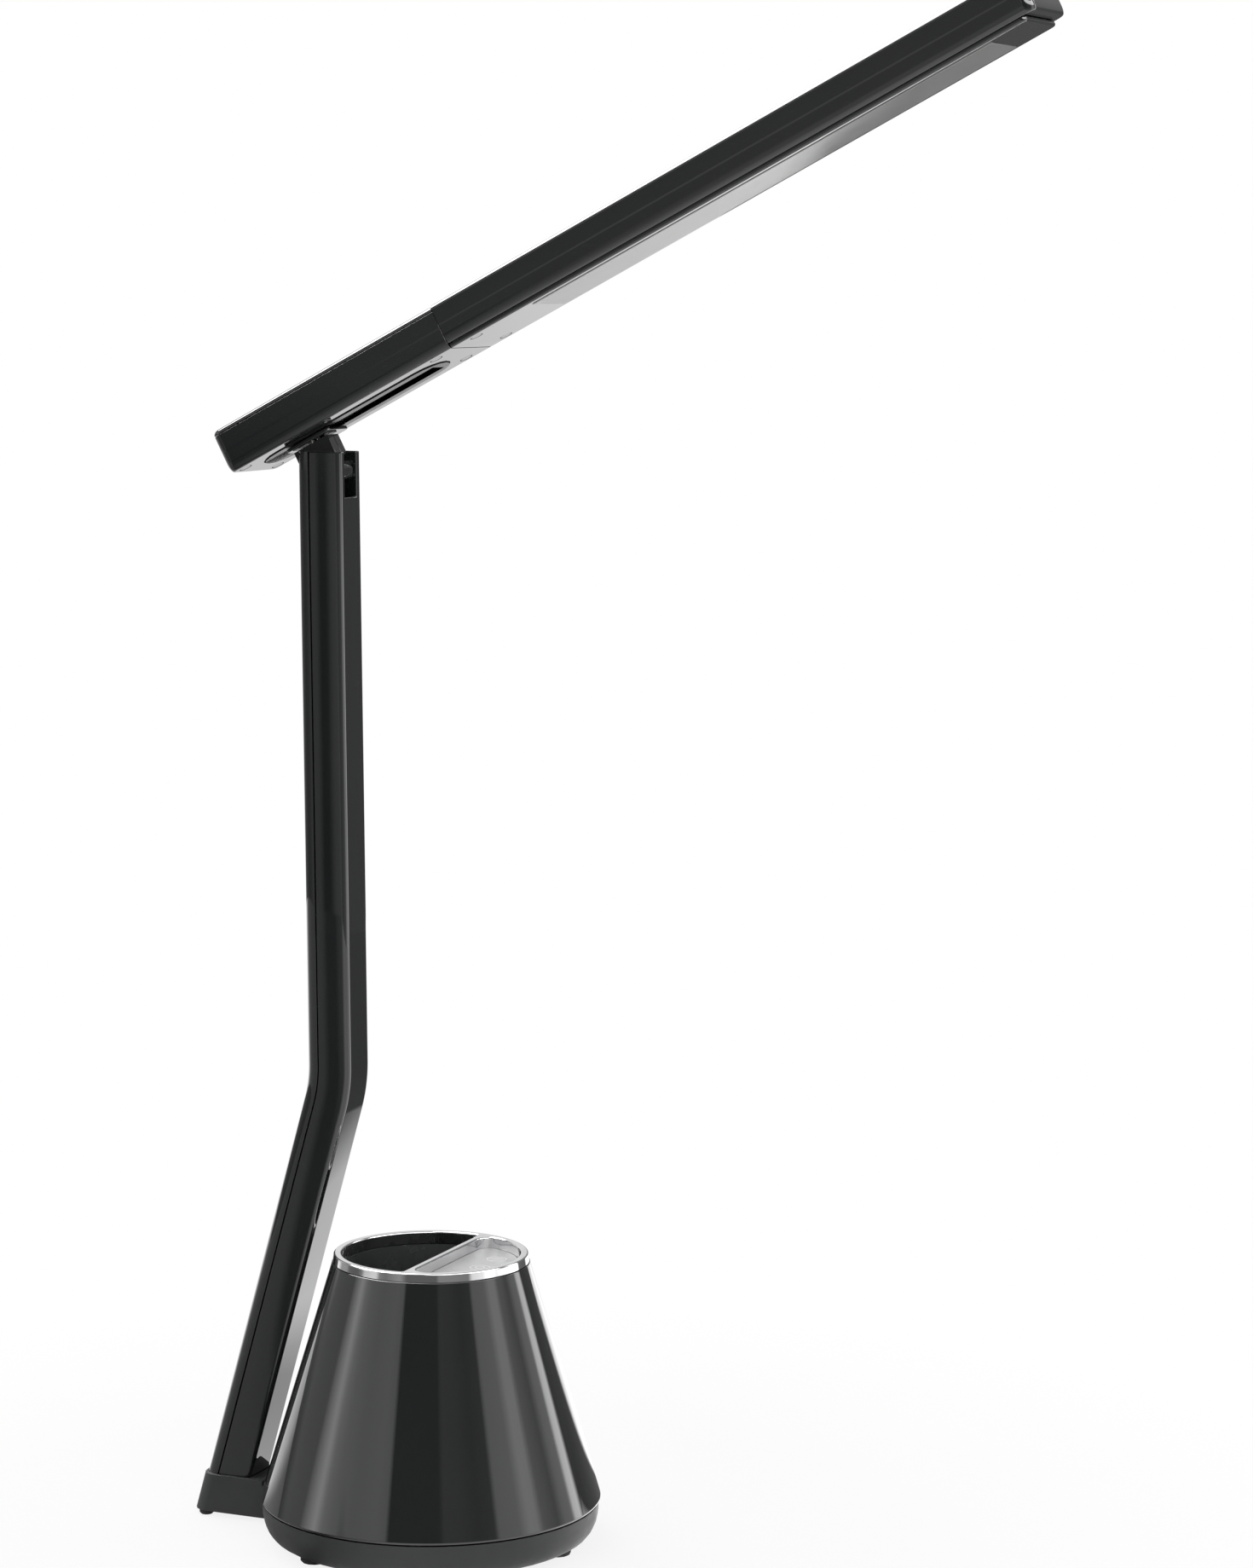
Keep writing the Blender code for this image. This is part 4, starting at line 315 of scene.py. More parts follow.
def casing(x_span, half, z_span, plan_rounds, low_round, high_round, end_low):
    """Flat casing with turned edges and a fine line at mid height of its long sides."""
    x0, x1 = x_span
    low, high = z_span
    back_round, front_round = plan_rounds
    levels = []
    for i in range(EDGE_STEPS + 1):
        angle = QUARTER_TURN * i / EDGE_STEPS
        levels.append((low + HEAD_LOW_RISE * (1 - math.cos(angle)),
                       low_round * (1 - math.sin(angle)) + SIDE_STEP,
                       end_low * (1 - math.sin(angle))))
    middle = (low + high) / 2
    levels += [(low + HEAD_LOW_RISE + STEP_GUARD, SIDE_STEP, 0.0),
               (middle - STEP_RISE - STEP_GUARD, SIDE_STEP, 0.0),
               (middle - STEP_RISE, SIDE_STEP, 0.0), (middle, 0.0, 0.0),
               (middle + STEP_GUARD, 0.0, 0.0)]
    for i in range(EDGE_STEPS + 1):
        angle = QUARTER_TURN * (EDGE_STEPS - i) / EDGE_STEPS
        turn_in = high_round * (1 - math.sin(angle))
        levels.append((high - high_round * (1 - math.cos(angle)), turn_in, turn_in))
    loops = []
    for height, inset, end_inset in levels:
        outline = slab_outline(x0 + end_inset, x1 - end_inset, half - inset,
                               back_round - inset, front_round - inset)
        loops.append([(x, y, height) for x, y in outline])
    return loft(loops)


def d_outline(radius, flat, corner, side=1.0):
    """Part of a circle past a flat, with turned corners; side -1 is its mirror."""
    mid_x = flat + corner
    mid_y = math.sqrt((radius - corner) ** 2 - mid_x ** 2)
    swing = math.atan2(mid_y, mid_x)
    half_turn = 2 * QUARTER_TURN
    points = arc((0.0, 0.0), radius, -swing, swing, D_ARC_STEPS)
    points += arc((mid_x, mid_y), corner, swing, half_turn, CORNER_STEPS)[1:]
    points += arc((mid_x, -mid_y), corner, -half_turn, -swing, CORNER_STEPS)[:-1]
    return [(side * x, y) for x, y in points]


def flared_d(radius, flat, corner, low, high, edge, side=1.0):
    """Cutter of a D shape that turns the upper edge of the hole it leaves."""
    levels = [(low, 0.0), (high - edge, 0.0)]
    for i in range(1, EDGE_STEPS + 1):
        angle = QUARTER_TURN * i / EDGE_STEPS
        levels.append((high - edge * (1 - math.sin(angle)), edge * (1 - math.cos(angle))))
    levels.append((high + OVERRUN, edge))
    loops = []
    for height, grow in levels:
        outline = d_outline(radius + grow, flat - grow, corner + grow, side)
        loops.append([(x, y, height) for x, y in outline])
    return loft(loops)


# Objects

def mesh_object(name, shape):
    bmesh.ops.recalc_face_normals(shape, faces=shape.faces)
    mesh = bpy.data.meshes.new(name)
    shape.to_mesh(mesh)
    shape.free()
    obj = bpy.data.objects.new(name, mesh)
    bpy.context.scene.collection.objects.link(obj)
    return obj


def cut(obj, *shapes):
    """Cut shapes from a piece, in the piece's own frame."""
    for shape in shapes:
        tool = mesh_object("tool", shape)
        change = obj.modifiers.new("cut", "BOOLEAN")
        change.operation = "DIFFERENCE"
        change.solver = "EXACT"
        change.object = tool
        graph = bpy.context.evaluated_depsgraph_get()
        result = bpy.data.meshes.new_from_object(obj.evaluated_get(graph))
        obj.modifiers.remove(change)
        result.name = obj.name
        obj.data = result
        bpy.data.objects.remove(tool, do_unlink=True)


def released(obj):
    shape = bmesh.new()
    shape.from_mesh(obj.data)
    bpy.data.objects.remove(obj, do_unlink=True)
    return shape


def shade(obj, break_width=0.0):
    """Smooth shading with sharp edges, the edges broken by a small bevel."""
    mesh = obj.data
    mesh.shade_smooth()
    mesh.set_sharp_from_angle(angle=SHARP_ANGLE)
    if break_width:
        bevel = obj.modifiers.new("edge_break", "BEVEL")
        bevel.width = break_width
        bevel.segments = BREAK_SEGMENTS
        bevel.limit_method = "ANGLE"
        bevel.angle_limit = SHARP_ANGLE
    level = obj.modifiers.new("flat_faces", "WEIGHTED_NORMAL")
    level.keep_sharp = True
    level.weight = FLAT_FACE_WEIGHT


def piece(obj, material, body, slot, *nodes, break_width=0.0):
    """Finish a piece, make it ride on its body and stand for its nodes."""
    obj.data.materials.clear()
    obj.data.materials.append(material)
    shade(obj, break_width)
    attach(obj, body)
    if nodes:
        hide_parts(*nodes)


def refined(node, material, slot):
    """Copy of a node's solid with broken edges and even shading, in its place."""
    shape = bmesh.new()
    shape.from_mesh(frame["nodes"][node].data)
    bmesh.ops.remove_doubles(shape, verts=shape.verts, dist=WELD)
    bmesh.ops.dissolve_limit(shape, angle_limit=FLAT_ANGLE, verts=shape.verts,
                             edges=shape.edges)
    obj = mesh_object(node + "_finished", shape)
    normals = obj.data.attributes.get("custom_normal")
    if normals:
        obj.data.attributes.remove(normals)
    body = frame["nodes"][node]["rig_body"]
    piece(obj, material, body, slot, node, break_width=BREAK_WIDTH)


def head_matrix():
    """Place of the head's own frame in the lamp's."""
    hinge = next(joint for joint in frame["joints"] if joint["name"] == "head_tilt")
    return Matrix.Translation(hinge["pos_m"]) @ Matrix.Rotation(-HEAD_ANGLE, 4, "Y")


def head_box(node):
    """Lowest and highest corner of a head node in the head's own frame."""
    back = head_matrix().inverted()
    spots = [back @ v.co for v in frame["nodes"][node].data.vertices]
    return [Vector([pick(spot[i] for spot in spots) for i in range(3)])
            for pick in (min, max)]


# Materials

class Finish:
    """One procedural material: a shader with a few noises tied to the piece."""

    def __init__(self, name, stretch=(1.0, 1.0, 1.0)):
        self.material = bpy.data.materials.new(name)
        self.material.use_nodes = True
        self.tree = self.material.node_tree
        self.shader = self.tree.nodes["Principled BSDF"]
        place = self.tree.nodes.new("ShaderNodeTexCoord")
        scaled = self.tree.nodes.new("ShaderNodeMapping")
        scaled.inputs["Scale"].default_value = stretch
        self.tree.links.new(place.outputs["Object"], scaled.inputs["Vector"])
        self.place = scaled.outputs["Vector"]

    def set(self, **values):
        """Numbers on the shader's own sockets, such as coat_weight."""
        for name, value in values.items():
            self.shader.inputs[name.replace("_", " ").title().replace("Ior", "IOR")
                               ].default_value = value
        return self

    def noise(self, size, detail=2.0):
        """Noise whose blotches are about as large as size."""
        node = self.tree.nodes.new("ShaderNodeTexNoise")
        node.inputs["Scale"].default_value = 1 / size
        node.inputs["Detail"].default_value = detail
        self.tree.links.new(self.place, node.inputs["Vector"])
        return node.outputs["Fac"]

    def spread(self, value, low, high):
        node = self.tree.nodes.new("ShaderNodeMapRange")
        node.inputs["From Min"].default_value = NOISE_LOW
        node.inputs["From Max"].default_value = NOISE_HIGH
        node.inputs["To Min"].default_value = low
        node.inputs["To Max"].default_value = high
        self.tree.links.new(value, node.inputs["Value"])
        return node.outputs["Result"]

    def colour(self, dark, light, size):
        """Base colour that drifts between two shades."""
        node = self.tree.nodes.new("ShaderNodeMix")
        node.data_type = "RGBA"
        drift = self.spread(self.noise(size), 0.0, 1.0)
        self.tree.links.new(drift, node.inputs["Factor"])
        node.inputs[6].default_value = (*dark, 1.0)
        node.inputs[7].default_value = (*light, 1.0)
        self.tree.links.new(node.outputs[2], self.shader.inputs["Base Color"])
        return self

    def rough(self, low, high, size):
        drift = self.spread(self.noise(size, ROUGH_DETAIL), low, high)
        self.tree.links.new(drift, self.shader.inputs["Roughness"])
        return self

    def bump(self, size, depth, detail=2.0):
        """Relief of that depth in metres, from noise as fine as size."""
        node = self.tree.nodes.new("ShaderNodeBump")
        node.inputs["Distance"].default_value = depth
        self.tree.links.new(self.noise(size, detail), node.inputs["Height"])
        self.tree.links.new(node.outputs["Normal"], self.shader.inputs["Normal"])
        return self


def make_materials():
    gloss = Finish("gloss_black_moulding").set(coat_weight=1.0, coat_roughness=0.012)
    gloss.colour(dark=(0.0080, 0.0090, 0.0092), light=(0.0105, 0.0115, 0.0118), size=0.060)
    gloss.rough(low=0.012, high=0.026, size=0.018).bump(size=0.0060, depth=0.0000004)

    well = Finish("cup_moulding")
    well.colour(dark=(0.044, 0.046, 0.046), light=(0.056, 0.058, 0.058), size=0.030)
    well.rough(low=0.20, high=0.32, size=0.010).bump(size=0.0020, depth=0.000004)

    satin = Finish("satin_black_moulding").set(specular_ior_level=0.45)
    satin.colour(dark=(0.0240, 0.0252, 0.0254), light=(0.0304, 0.0318, 0.0322), size=0.020)
    satin.rough(low=0.40, high=0.52, size=0.008).bump(size=0.00045, depth=0.000012, detail=3.0)

    chrome = Finish("bright_chrome").set(metallic=1.0)
    chrome.colour(dark=(0.74, 0.74, 0.75), light=(0.82, 0.82, 0.83), size=0.015)
    chrome.rough(low=0.035, high=0.085, size=0.006).bump(size=0.0050, depth=0.0000015)

    panel = Finish("panel_film").set(coat_weight=0.25, coat_roughness=0.10)
    panel.colour(dark=(0.62, 0.62, 0.62), light=(0.65, 0.65, 0.65), size=0.012)
    panel.rough(low=0.30, high=0.34, size=0.004).bump(size=0.00030, depth=0.0000006, detail=3.0)

    mark = Finish("panel_marks")
    mark.colour(dark=(0.86, 0.86, 0.86), light=(0.92, 0.92, 0.92), size=0.002)
    mark.rough(low=0.35, high=0.50, size=0.001)

    milk = Finish("milky_acrylic")
    milk.colour(dark=(0.30, 0.304, 0.30), light=(0.33, 0.334, 0.33), size=0.030)
    milk.rough(low=0.05, high=0.09, size=0.020).bump(size=0.0040, depth=0.0000012)

    white = Finish("white_reflector")
    white.colour(dark=(0.76, 0.76, 0.74), light=(0.84, 0.84, 0.82), size=0.010)
    white.rough(low=0.45, high=0.60, size=0.004).bump(size=0.0008, depth=0.000010)

    plug = Finish("screw_plug_moulding").set(coat_weight=0.8, coat_roughness=0.02)
    plug.colour(dark=(0.0100, 0.0105, 0.0108), light=(0.0130, 0.0138, 0.0140), size=0.002)
    plug.rough(low=0.05, high=0.10, size=0.001).bump(size=0.0010, depth=0.0000004)

    rubber = Finish("matt_rubber")
    rubber.colour(dark=(0.016, 0.016, 0.016), light=(0.030, 0.030, 0.030), size=0.003)
    rubber.rough(low=0.70, high=0.88, size=0.002).bump(size=0.0005, depth=0.000030, detail=3.0)

    nylon = Finish("track_nylon", stretch=(0.15, 1.0, 1.0))
    nylon.colour(dark=(0.010, 0.0108, 0.0110), light=(0.016, 0.0168, 0.0170), size=0.006)
    nylon.rough(low=0.16, high=0.28, size=0.002).bump(size=0.0006, depth=0.000004)

    zinc = Finish("zinc_plate").set(metallic=1.0)
    zinc.colour(dark=(0.50, 0.50, 0.47), light=(0.66, 0.66, 0.63), size=0.0015)
    zinc.rough(low=0.24, high=0.42, size=0.001).bump(size=0.0004, depth=0.000006)

    steel = Finish("turned_steel", stretch=(1.0, 1.0, 8.0)).set(metallic=1.0)
    steel.colour(dark=(0.42, 0.42, 0.43), light=(0.54, 0.54, 0.55), size=0.004)
    steel.rough(low=0.28, high=0.42, size=0.002).bump(size=0.0006, depth=0.000006)

    board = Finish("board_mask").set(coat_weight=0.3)
    board.colour(dark=(0.020, 0.130, 0.055), light=(0.035, 0.180, 0.080), size=0.004)
    board.rough(low=0.30, high=0.45, size=0.002).bump(size=0.0009, depth=0.000020)

    jacket = Finish("wire_jacket")
    jacket.colour(dark=(0.020, 0.020, 0.020), light=(0.034, 0.034, 0.034), size=0.004)
    jacket.rough(low=0.42, high=0.58, size=0.002).bump(size=0.0006, depth=0.000010)
    return {name: made.material for name, made in {
        "gloss": gloss, "plug": plug, "well": well, "satin": satin, "chrome": chrome,
        "panel": panel, "mark": mark, "milk": milk, "white": white, "rubber": rubber,
        "nylon": nylon, "zinc": zinc, "steel": steel, "board": board,
        "jacket": jacket}.items()}


# Base

def build_cone(look):
    _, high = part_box("base_cone")
    bottom = min(v.co.z for v in frame["nodes"]["base_cone"].data.vertices
                 if v.co.xy.length > high.x - 2 * CONE_LIP)
    radius = high.x
    top = high.z
    lip_top = bottom + CONE_LIP
    slope = (radius - CONE_TOP_RADIUS) / (top - lip_top)
    flange_low, flange_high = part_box("dc_inlet")
    inlet_height = (flange_low.z + flange_high.z) / 2
    flange_radius = (flange_high.z - flange_low.z) / 2
    rise = inlet_height + flange_radius - lip_top
    seat = radius - rise * slope - INLET_SINK

    cavity = mesh_object("cavity", lathe([
        (0.0, bottom - OVERRUN), (radius - CONE_WALL, bottom - OVERRUN),
        (radius - CONE_WALL, lip_top), (CONE_TOP_RADIUS - CONE_WALL, top),
        (CONE_TOP_RADIUS - CONE_WALL, top + OVERRUN), (0.0, top + OVERRUN)]))
    cut(cavity, moved(rod(INLET_BOSS_RADIUS, seat - INLET_BOSS_DEPTH, radius + OVERRUN,
                          along="Y"), z=inlet_height))
    lip = arc((radius - CONE_LIP, lip_top), CONE_LIP, -QUARTER_TURN, 0.0, EDGE_STEPS)
    edge = arc((CONE_TOP_RADIUS - CONE_TOP_EDGE, top - CONE_TOP_EDGE), CONE_TOP_EDGE, 0.0,
               QUARTER_TURN, EDGE_STEPS)
    cone = mesh_object("cone_shell", lathe([(0.0, bottom)] + lip + edge + [(0.0, top)]))
    cut(cone, released(cavity))
    cut(cone, moved(rod(flange_radius + SEAT_GAP, seat, radius + OVERRUN, along="Y"),
                    z=inlet_height))
    piece(cone, look["gloss"], "base", "gloss_black", "base_cone")


def build_bezel(look):
    low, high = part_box("chrome_bezel")
    sleeve_radius = CONE_TOP_RADIUS - CONE_WALL - SEAT_GAP
    bottom = low.z + BEZEL_SLEEVE
    top = high.z
    flare = arc((BEZEL_TOP_RADIUS - BEZEL_EDGE, top - BEZEL_EDGE), BEZEL_EDGE, 0.0,
                QUARTER_TURN, EDGE_STEPS)
    bezel = mesh_object("chrome_ring", lathe([
        (0.0, low.z), (sleeve_radius, low.z), (sleeve_radius, bottom),
        (high.x, bottom)] + flare + [(0.0, top)]))
    start = low.z - OVERRUN
    flat = DIVIDER_WIDTH / 2
    cut(bezel,
        flared_d(BEZEL_HOLE_RADIUS, DIVIDER_OFFSET + flat, PANEL_CORNER, start, top,
                 BEZEL_EDGE),
        flared_d(BEZEL_HOLE_RADIUS, flat - DIVIDER_OFFSET, CUP_CORNER, start, top,
                 BEZEL_EDGE, side=-1.0))
    piece(bezel, look["chrome"], "base", "chrome", "chrome_bezel")


def build_panel(look):
    low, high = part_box("touch_panel")
    radius = high.x
    levels = [(low.z, 0.0), (high.z - PANEL_EDGE, 0.0)]
    for i in range(1, EDGE_STEPS + 1):
        angle = QUARTER_TURN * i / EDGE_STEPS
        levels.append((high.z - PANEL_EDGE * (1 - math.sin(angle)),
                       PANEL_EDGE * (1 - math.cos(angle))))
    loops = []
    for height, inset in levels:
        outline = d_outline(radius - inset, low.x + inset, PANEL_CORNER - SEAT_GAP - inset)
        loops.append([(x, y, height) for x, y in outline])
    piece(mesh_object("touch_plate", loft(loops)), look["panel"], "base", "panel_silver",
          "touch_panel")
    build_panel_rings(look, (low.x + high.x) / 2, high.z)


def build_panel_rings(look, middle, top):
    """Plain touch rings: a double one in the middle, single ones beside it."""
    rings = [(0.0, RING_RADIUS), (0.0, RING_RADIUS / 2), (-RING_SPACING, RING_RADIUS),
             (RING_SPACING, RING_RADIUS)]
    for number, (y, radius) in enumerate(rings, 1):
        inner = radius - RING_LINE
        shape = lathe([(inner, top - RING_HEIGHT), (radius, top - RING_HEIGHT),
                       (radius, top + RING_HEIGHT), (inner, top + RING_HEIGHT)], RING_SIDES)
        ring = mesh_object(f"touch_ring_{number}", moved(shape, x=middle, y=y))
        piece(ring, look["mark"], "base", "panel_silver")


# Arm

def level_station(height):
    """Level cut across one of the arm's straight runs."""
    lean = ARM_LEAN_LOW if height < KNEE_HEIGHT else ARM_LEAN_HIGH
    front = Vector((KNEE_X + (height - KNEE_HEIGHT) * math.tan(lean), height))
    return front, Vector((-1 / math.cos(lean), 0.0))


def arm_stations(bottom, top):
    """Places up the arm's front face, each with the way that leads to its back."""
    turn = ARM_LEAN_LOW - ARM_LEAN_HIGH
    reach = KNEE_FRONT_RADIUS * math.tan(turn / 2)
    centre = Vector((
        KNEE_X - reach * math.sin(ARM_LEAN_LOW) - KNEE_FRONT_RADIUS * math.cos(ARM_LEAN_LOW),
        KNEE_HEIGHT - reach * math.cos(ARM_LEAN_LOW)
        + KNEE_FRONT_RADIUS * math.sin(ARM_LEAN_LOW),
    ))
    stations = [level_station(bottom)]
    for i in range(BEND_STEPS + 1):
        lean = ARM_LEAN_LOW - turn * i / BEND_STEPS
        back = Vector((-math.cos(lean), math.sin(lean)))
        stations.append((centre - KNEE_FRONT_RADIUS * back, back))
    stations.append(level_station(top))
    return stations


def arm_sweep(outline, stations):
    """Body of one section, given in depth and width, through the arm's stations."""
    loops = []
    for front, back in stations:
        spots = [(front + depth * back, width) for depth, width in outline]
        loops.append([(spot.x, width, spot.y) for spot, width in spots])
    return loft(loops)


def crowned_side(start, end, half, side):
    """Side of the arm's section between two depths, bowed out a hair at its middle."""
    points = []
    for i in range(EDGE_STEPS + 1):
        t = i / EDGE_STEPS
        bow = ARM_CROWN * (1 - 2 * (2 * t - 1) ** 2)
        points.append((start + (end - start) * t, side * (half + bow)))
    return points


def build_arm(look):
    low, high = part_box("arm_body")
    half = high.y
    stations = arm_stations(low.z, high.z)
    notch_half = half - CHEEK_WIDTH
    edge = half - ARM_CROWN
    corner = ARM_FRONT_CORNER
    outline = arc((corner, corner - edge), corner, -2 * QUARTER_TURN, -QUARTER_TURN,
                  CORNER_STEPS)
    outline += crowned_side(corner, ARM_SPLIT, half, -1)[1:]
    outline += crowned_side(ARM_SPLIT, corner, half, 1)
    outline += arc((corner, edge - corner), corner, QUARTER_TURN, 2 * QUARTER_TURN,
                   CORNER_STEPS)[1:]
    front = mesh_object("arm_front_shell", arm_sweep(outline, stations))
    cut(front, arm_sweep([(-OVERRUN, -notch_half), (ARM_SPLIT + OVERRUN, -notch_half),
                          (ARM_SPLIT + OVERRUN, notch_half), (-OVERRUN, notch_half)],
                         [level_station(high.z - NOTCH_DEPTH_FRONT),
                          level_station(high.z + OVERRUN)]))
    piece(front, look["gloss"], "base", "gloss_black", "arm_body", break_width=ARM_EDGE)

    face = ARM_SPLIT + SEAT_GAP
    back = mesh_object("arm_back_shell", arm_sweep(rounded([
        (face, -edge, 0.0), (ARM_DEPTH, -edge, ARM_BACK_CORNER),
        (ARM_DEPTH, edge, ARM_BACK_CORNER), (face, edge, 0.0)]), stations))
    cut(back, arm_sweep([(ARM_SPLIT - OVERRUN, -notch_half),
                         (ARM_DEPTH + OVERRUN, -notch_half),
                         (ARM_DEPTH + OVERRUN, notch_half),
                         (ARM_SPLIT - OVERRUN, notch_half)],
                        [level_station(high.z - NOTCH_DEPTH_BACK),
                         level_station(high.z + OVERRUN)]))
    piece(back, look["gloss"], "base", "gloss_black", "arm_rear_cover",
          break_width=BREAK_WIDTH)


# Head

def beyond(x_span, half, z_span):
    reach = half + OVERRUN
    return box(x_span, (-reach, reach), z_span)


def place_in_head(obj):
    obj.matrix_world = head_matrix()
    bpy.context.view_layer.update()


def build_rear_section(look):
    low, high = head_box("head_rear_trough")
    _, lid_high = head_box("head_rear_lid")
    half = high.y
    seam = high.x
    far = seam + REAR_END_ROUND
    lid_bottom = lid_high.z - LID_THICKNESS
    spans = ((low.x, far), half, (low.z, lid_high.z), (REAR_END_ROUND, REAR_END_ROUND),
             HEAD_LOW_ROUND, HEAD_TOP_ROUND, REAR_END_LOW_ROUND)
    trough = mesh_object("rear_trough_shell", casing(*spans))
    outside = (low.x - OVERRUN, far + OVERRUN)
    cut(trough, beyond((seam, far + OVERRUN), half, (0.0, lid_high.z + OVERRUN)),
        beyond(outside, half, (lid_bottom - SEAT_GAP, lid_high.z + OVERRUN)))
    inner = half - HEAD_WALL
    cut(trough, prism(slab_outline(low.x + HEAD_WALL, far, inner,
                                   REAR_END_ROUND - HEAD_WALL, 0.0),
                      low.z + HEAD_WALL, lid_high.z))
    face_half, face_back, face_front = track_face()
    cut(trough, prism(stadium(face_back - SEAT_GAP, face_front + SEAT_GAP,
                              face_half + SEAT_GAP), low.z - OVERRUN,
                      low.z + HEAD_WALL + OVERRUN))
    cut_plug_seats(trough, low.z, [x for x in plug_places() if x[0] < seam])
    place_in_head(trough)
    piece(trough, look["gloss"], "head", "gloss_black", "head_rear_trough",
          break_width=BREAK_WIDTH)

    lid = mesh_object("rear_lid_shell", casing(*spans))
    cut(lid, beyond((seam, far + OVERRUN), half, (0.0, lid_high.z + OVERRUN)),
        beyond(outside, half, (0.0, lid_bottom)))
    place_in_head(lid)
    piece(lid, look["gloss"], "head", "gloss_black", "head_rear_lid",
          break_width=BREAK_WIDTH)


def track_face():
    """Half width and both ends of the track's face, which its flange overhangs."""
    low, high = head_box("track_insert")
    return high.y - TRACK_FLANGE, low.x + TRACK_FLANGE, high.x - TRACK_FLANGE


def stadium(x0, x1, half):
    front = arc((x1 - half, 0.0), half, -QUARTER_TURN, QUARTER_TURN, 2 * CORNER_STEPS)
    back = arc((x0 + half, 0.0), half, QUARTER_TURN, 3 * QUARTER_TURN, 2 * CORNER_STEPS)
    return front + back


def plug_places():
    """Middle of each screw plug in the head's own frame, with its radius."""
    places = []
    for number in range(1, PLUG_COUNT + 1):
        low, high = head_box(f"screw_plug_{number}")
        places.append(((low.x + high.x) / 2, (low.y + high.y) / 2, (high.x - low.x) / 2))
    return places


def cut_plug_seats(obj, face, places):
    for x, y, radius in places:
        cut(obj, moved(rod(radius + SEAT_GAP, face - OVERRUN, face + HEAD_WALL), x, y))


def build_plugs(look):
    """Round plugs, all but flush with the underside that they close."""
    for number, (x, y, radius) in enumerate(plug_places(), 1):
        node = f"screw_plug_{number}"
        low, high = head_box(node)
        seat = min(low.z, head_box("head_rear_trough")[0].z + PLUG_RECESS)
        plug = mesh_object(node + "_finished", moved(rod(radius, seat, high.z), x, y))
        place_in_head(plug)
        piece(plug, look["plug"], "head", "rubber", node, break_width=PLUG_EDGE)


def build_front_section(look):
    low, high = head_box("head_front_shell")
    half = high.y
    near = low.x - FRONT_TIP_ROUND
    shell = mesh_object("front_shell", casing(
        (near, high.x), half, (low.z, high.z), (FRONT_TIP_ROUND, FRONT_TIP_ROUND),
        FRONT_LOW_ROUND, HEAD_TOP_ROUND, FRONT_LOW_ROUND))
    cut(shell, beyond((near - OVERRUN, low.x), half, (0.0, high.z + OVERRUN)))
    inner = half - HEAD_WALL
    corner = FRONT_TIP_ROUND - HEAD_WALL
    roof = high.z - HEAD_WALL
    tip = high.x - LOWER_TIP_INSET - SEAT_GAP
    cut(shell, prism(slab_outline(near - OVERRUN, tip, inner, 0.0, corner),
                     low.z - OVERRUN, roof),
        prism(slab_outline(tip - OVERRUN, high.x - HEAD_WALL, inner, 0.0, corner),
              low.z + TIP_LEDGE, roof))
    place_in_head(shell)
    piece(shell, look["gloss"], "head", "gloss_black", "head_front_shell",
          break_width=BREAK_WIDTH)


# Everything else keeps its node's solid, with broken edges

PLAIN_NODES = {
    "satin": ("satin_black", ("base_tray", "dc_inlet", "section_coupler")),
    "gloss": ("gloss_black", ("neck_half_near", "neck_half_far", "slide_carriage",
                              "lower_frame")),
    "well": ("gloss_black", ("pen_cup",)),
    "milk": ("milky_white", ("diffuser",)),
    "white": ("white_coat", ("led_board", "light_box")),
    "rubber": ("rubber", ("rubber_foot_1", "rubber_foot_2", "rubber_foot_3",
                          "heel_foot_1", "heel_foot_2")),
    "nylon": ("black_nylon", ("track_insert", "slide_shoe")),
    "steel": ("steel", ("ballast_plate", "hinge_pin", "friction_sleeve")),
    "board": ("circuit_board", ("power_board", "touch_board")),
    "jacket": ("wire", ("arm_wire", "head_wire")),
}
SCREWS = {"ballast_screw": 3, "base_screw": 3, "arm_screw": 2, "board_screw": 2,
          "carriage_screw": 2, "head_screw": 6}


def build_plain_nodes(look):
    for key, (slot, nodes) in PLAIN_NODES.items():
        for node in nodes:
            refined(node, look[key], slot)
    for name, count in SCREWS.items():
        for number in range(1, count + 1):
            refined(f"{name}_{number}", look["zinc"], "zinc_screw")
    refined("inlet_nut", look["zinc"], "zinc_screw")


# Studio

def build_camera():
    data = bpy.data.cameras.new("camera")
    data.sensor_width = SENSOR_MM
    data.lens = CAMERA_LENS_MM
    data.clip_start = CAMERA_NEAR
    data.clip_end = CAMERA_FAR
    camera = bpy.data.objects.new("camera", data)
    bpy.context.scene.collection.objects.link(camera)
    camera.matrix_world = (
        Matrix.Translation(CAMERA_PLACE) @ Matrix.Rotation(CAMERA_YAW, 4, "Z")
        @ Matrix.Rotation(QUARTER_TURN + CAMERA_PITCH, 4, "X")
        @ Matrix.Rotation(CAMERA_ROLL, 4, "Z"))
    bpy.context.scene.camera = camera


def seen_rays(tree):
    """1 for rays from the camera and for those off gloss or through glass."""
    path = tree.nodes.new("ShaderNodeLightPath")
    total = path.outputs["Is Camera Ray"]
    for name in ("Is Glossy Ray", "Is Transmission Ray"):
        most = tree.nodes.new("ShaderNodeMath")
        most.operation = "MAXIMUM"
        tree.links.new(total, most.inputs[0])
        tree.links.new(path.outputs[name], most.inputs[1])
        total = most.outputs[0]
    return total


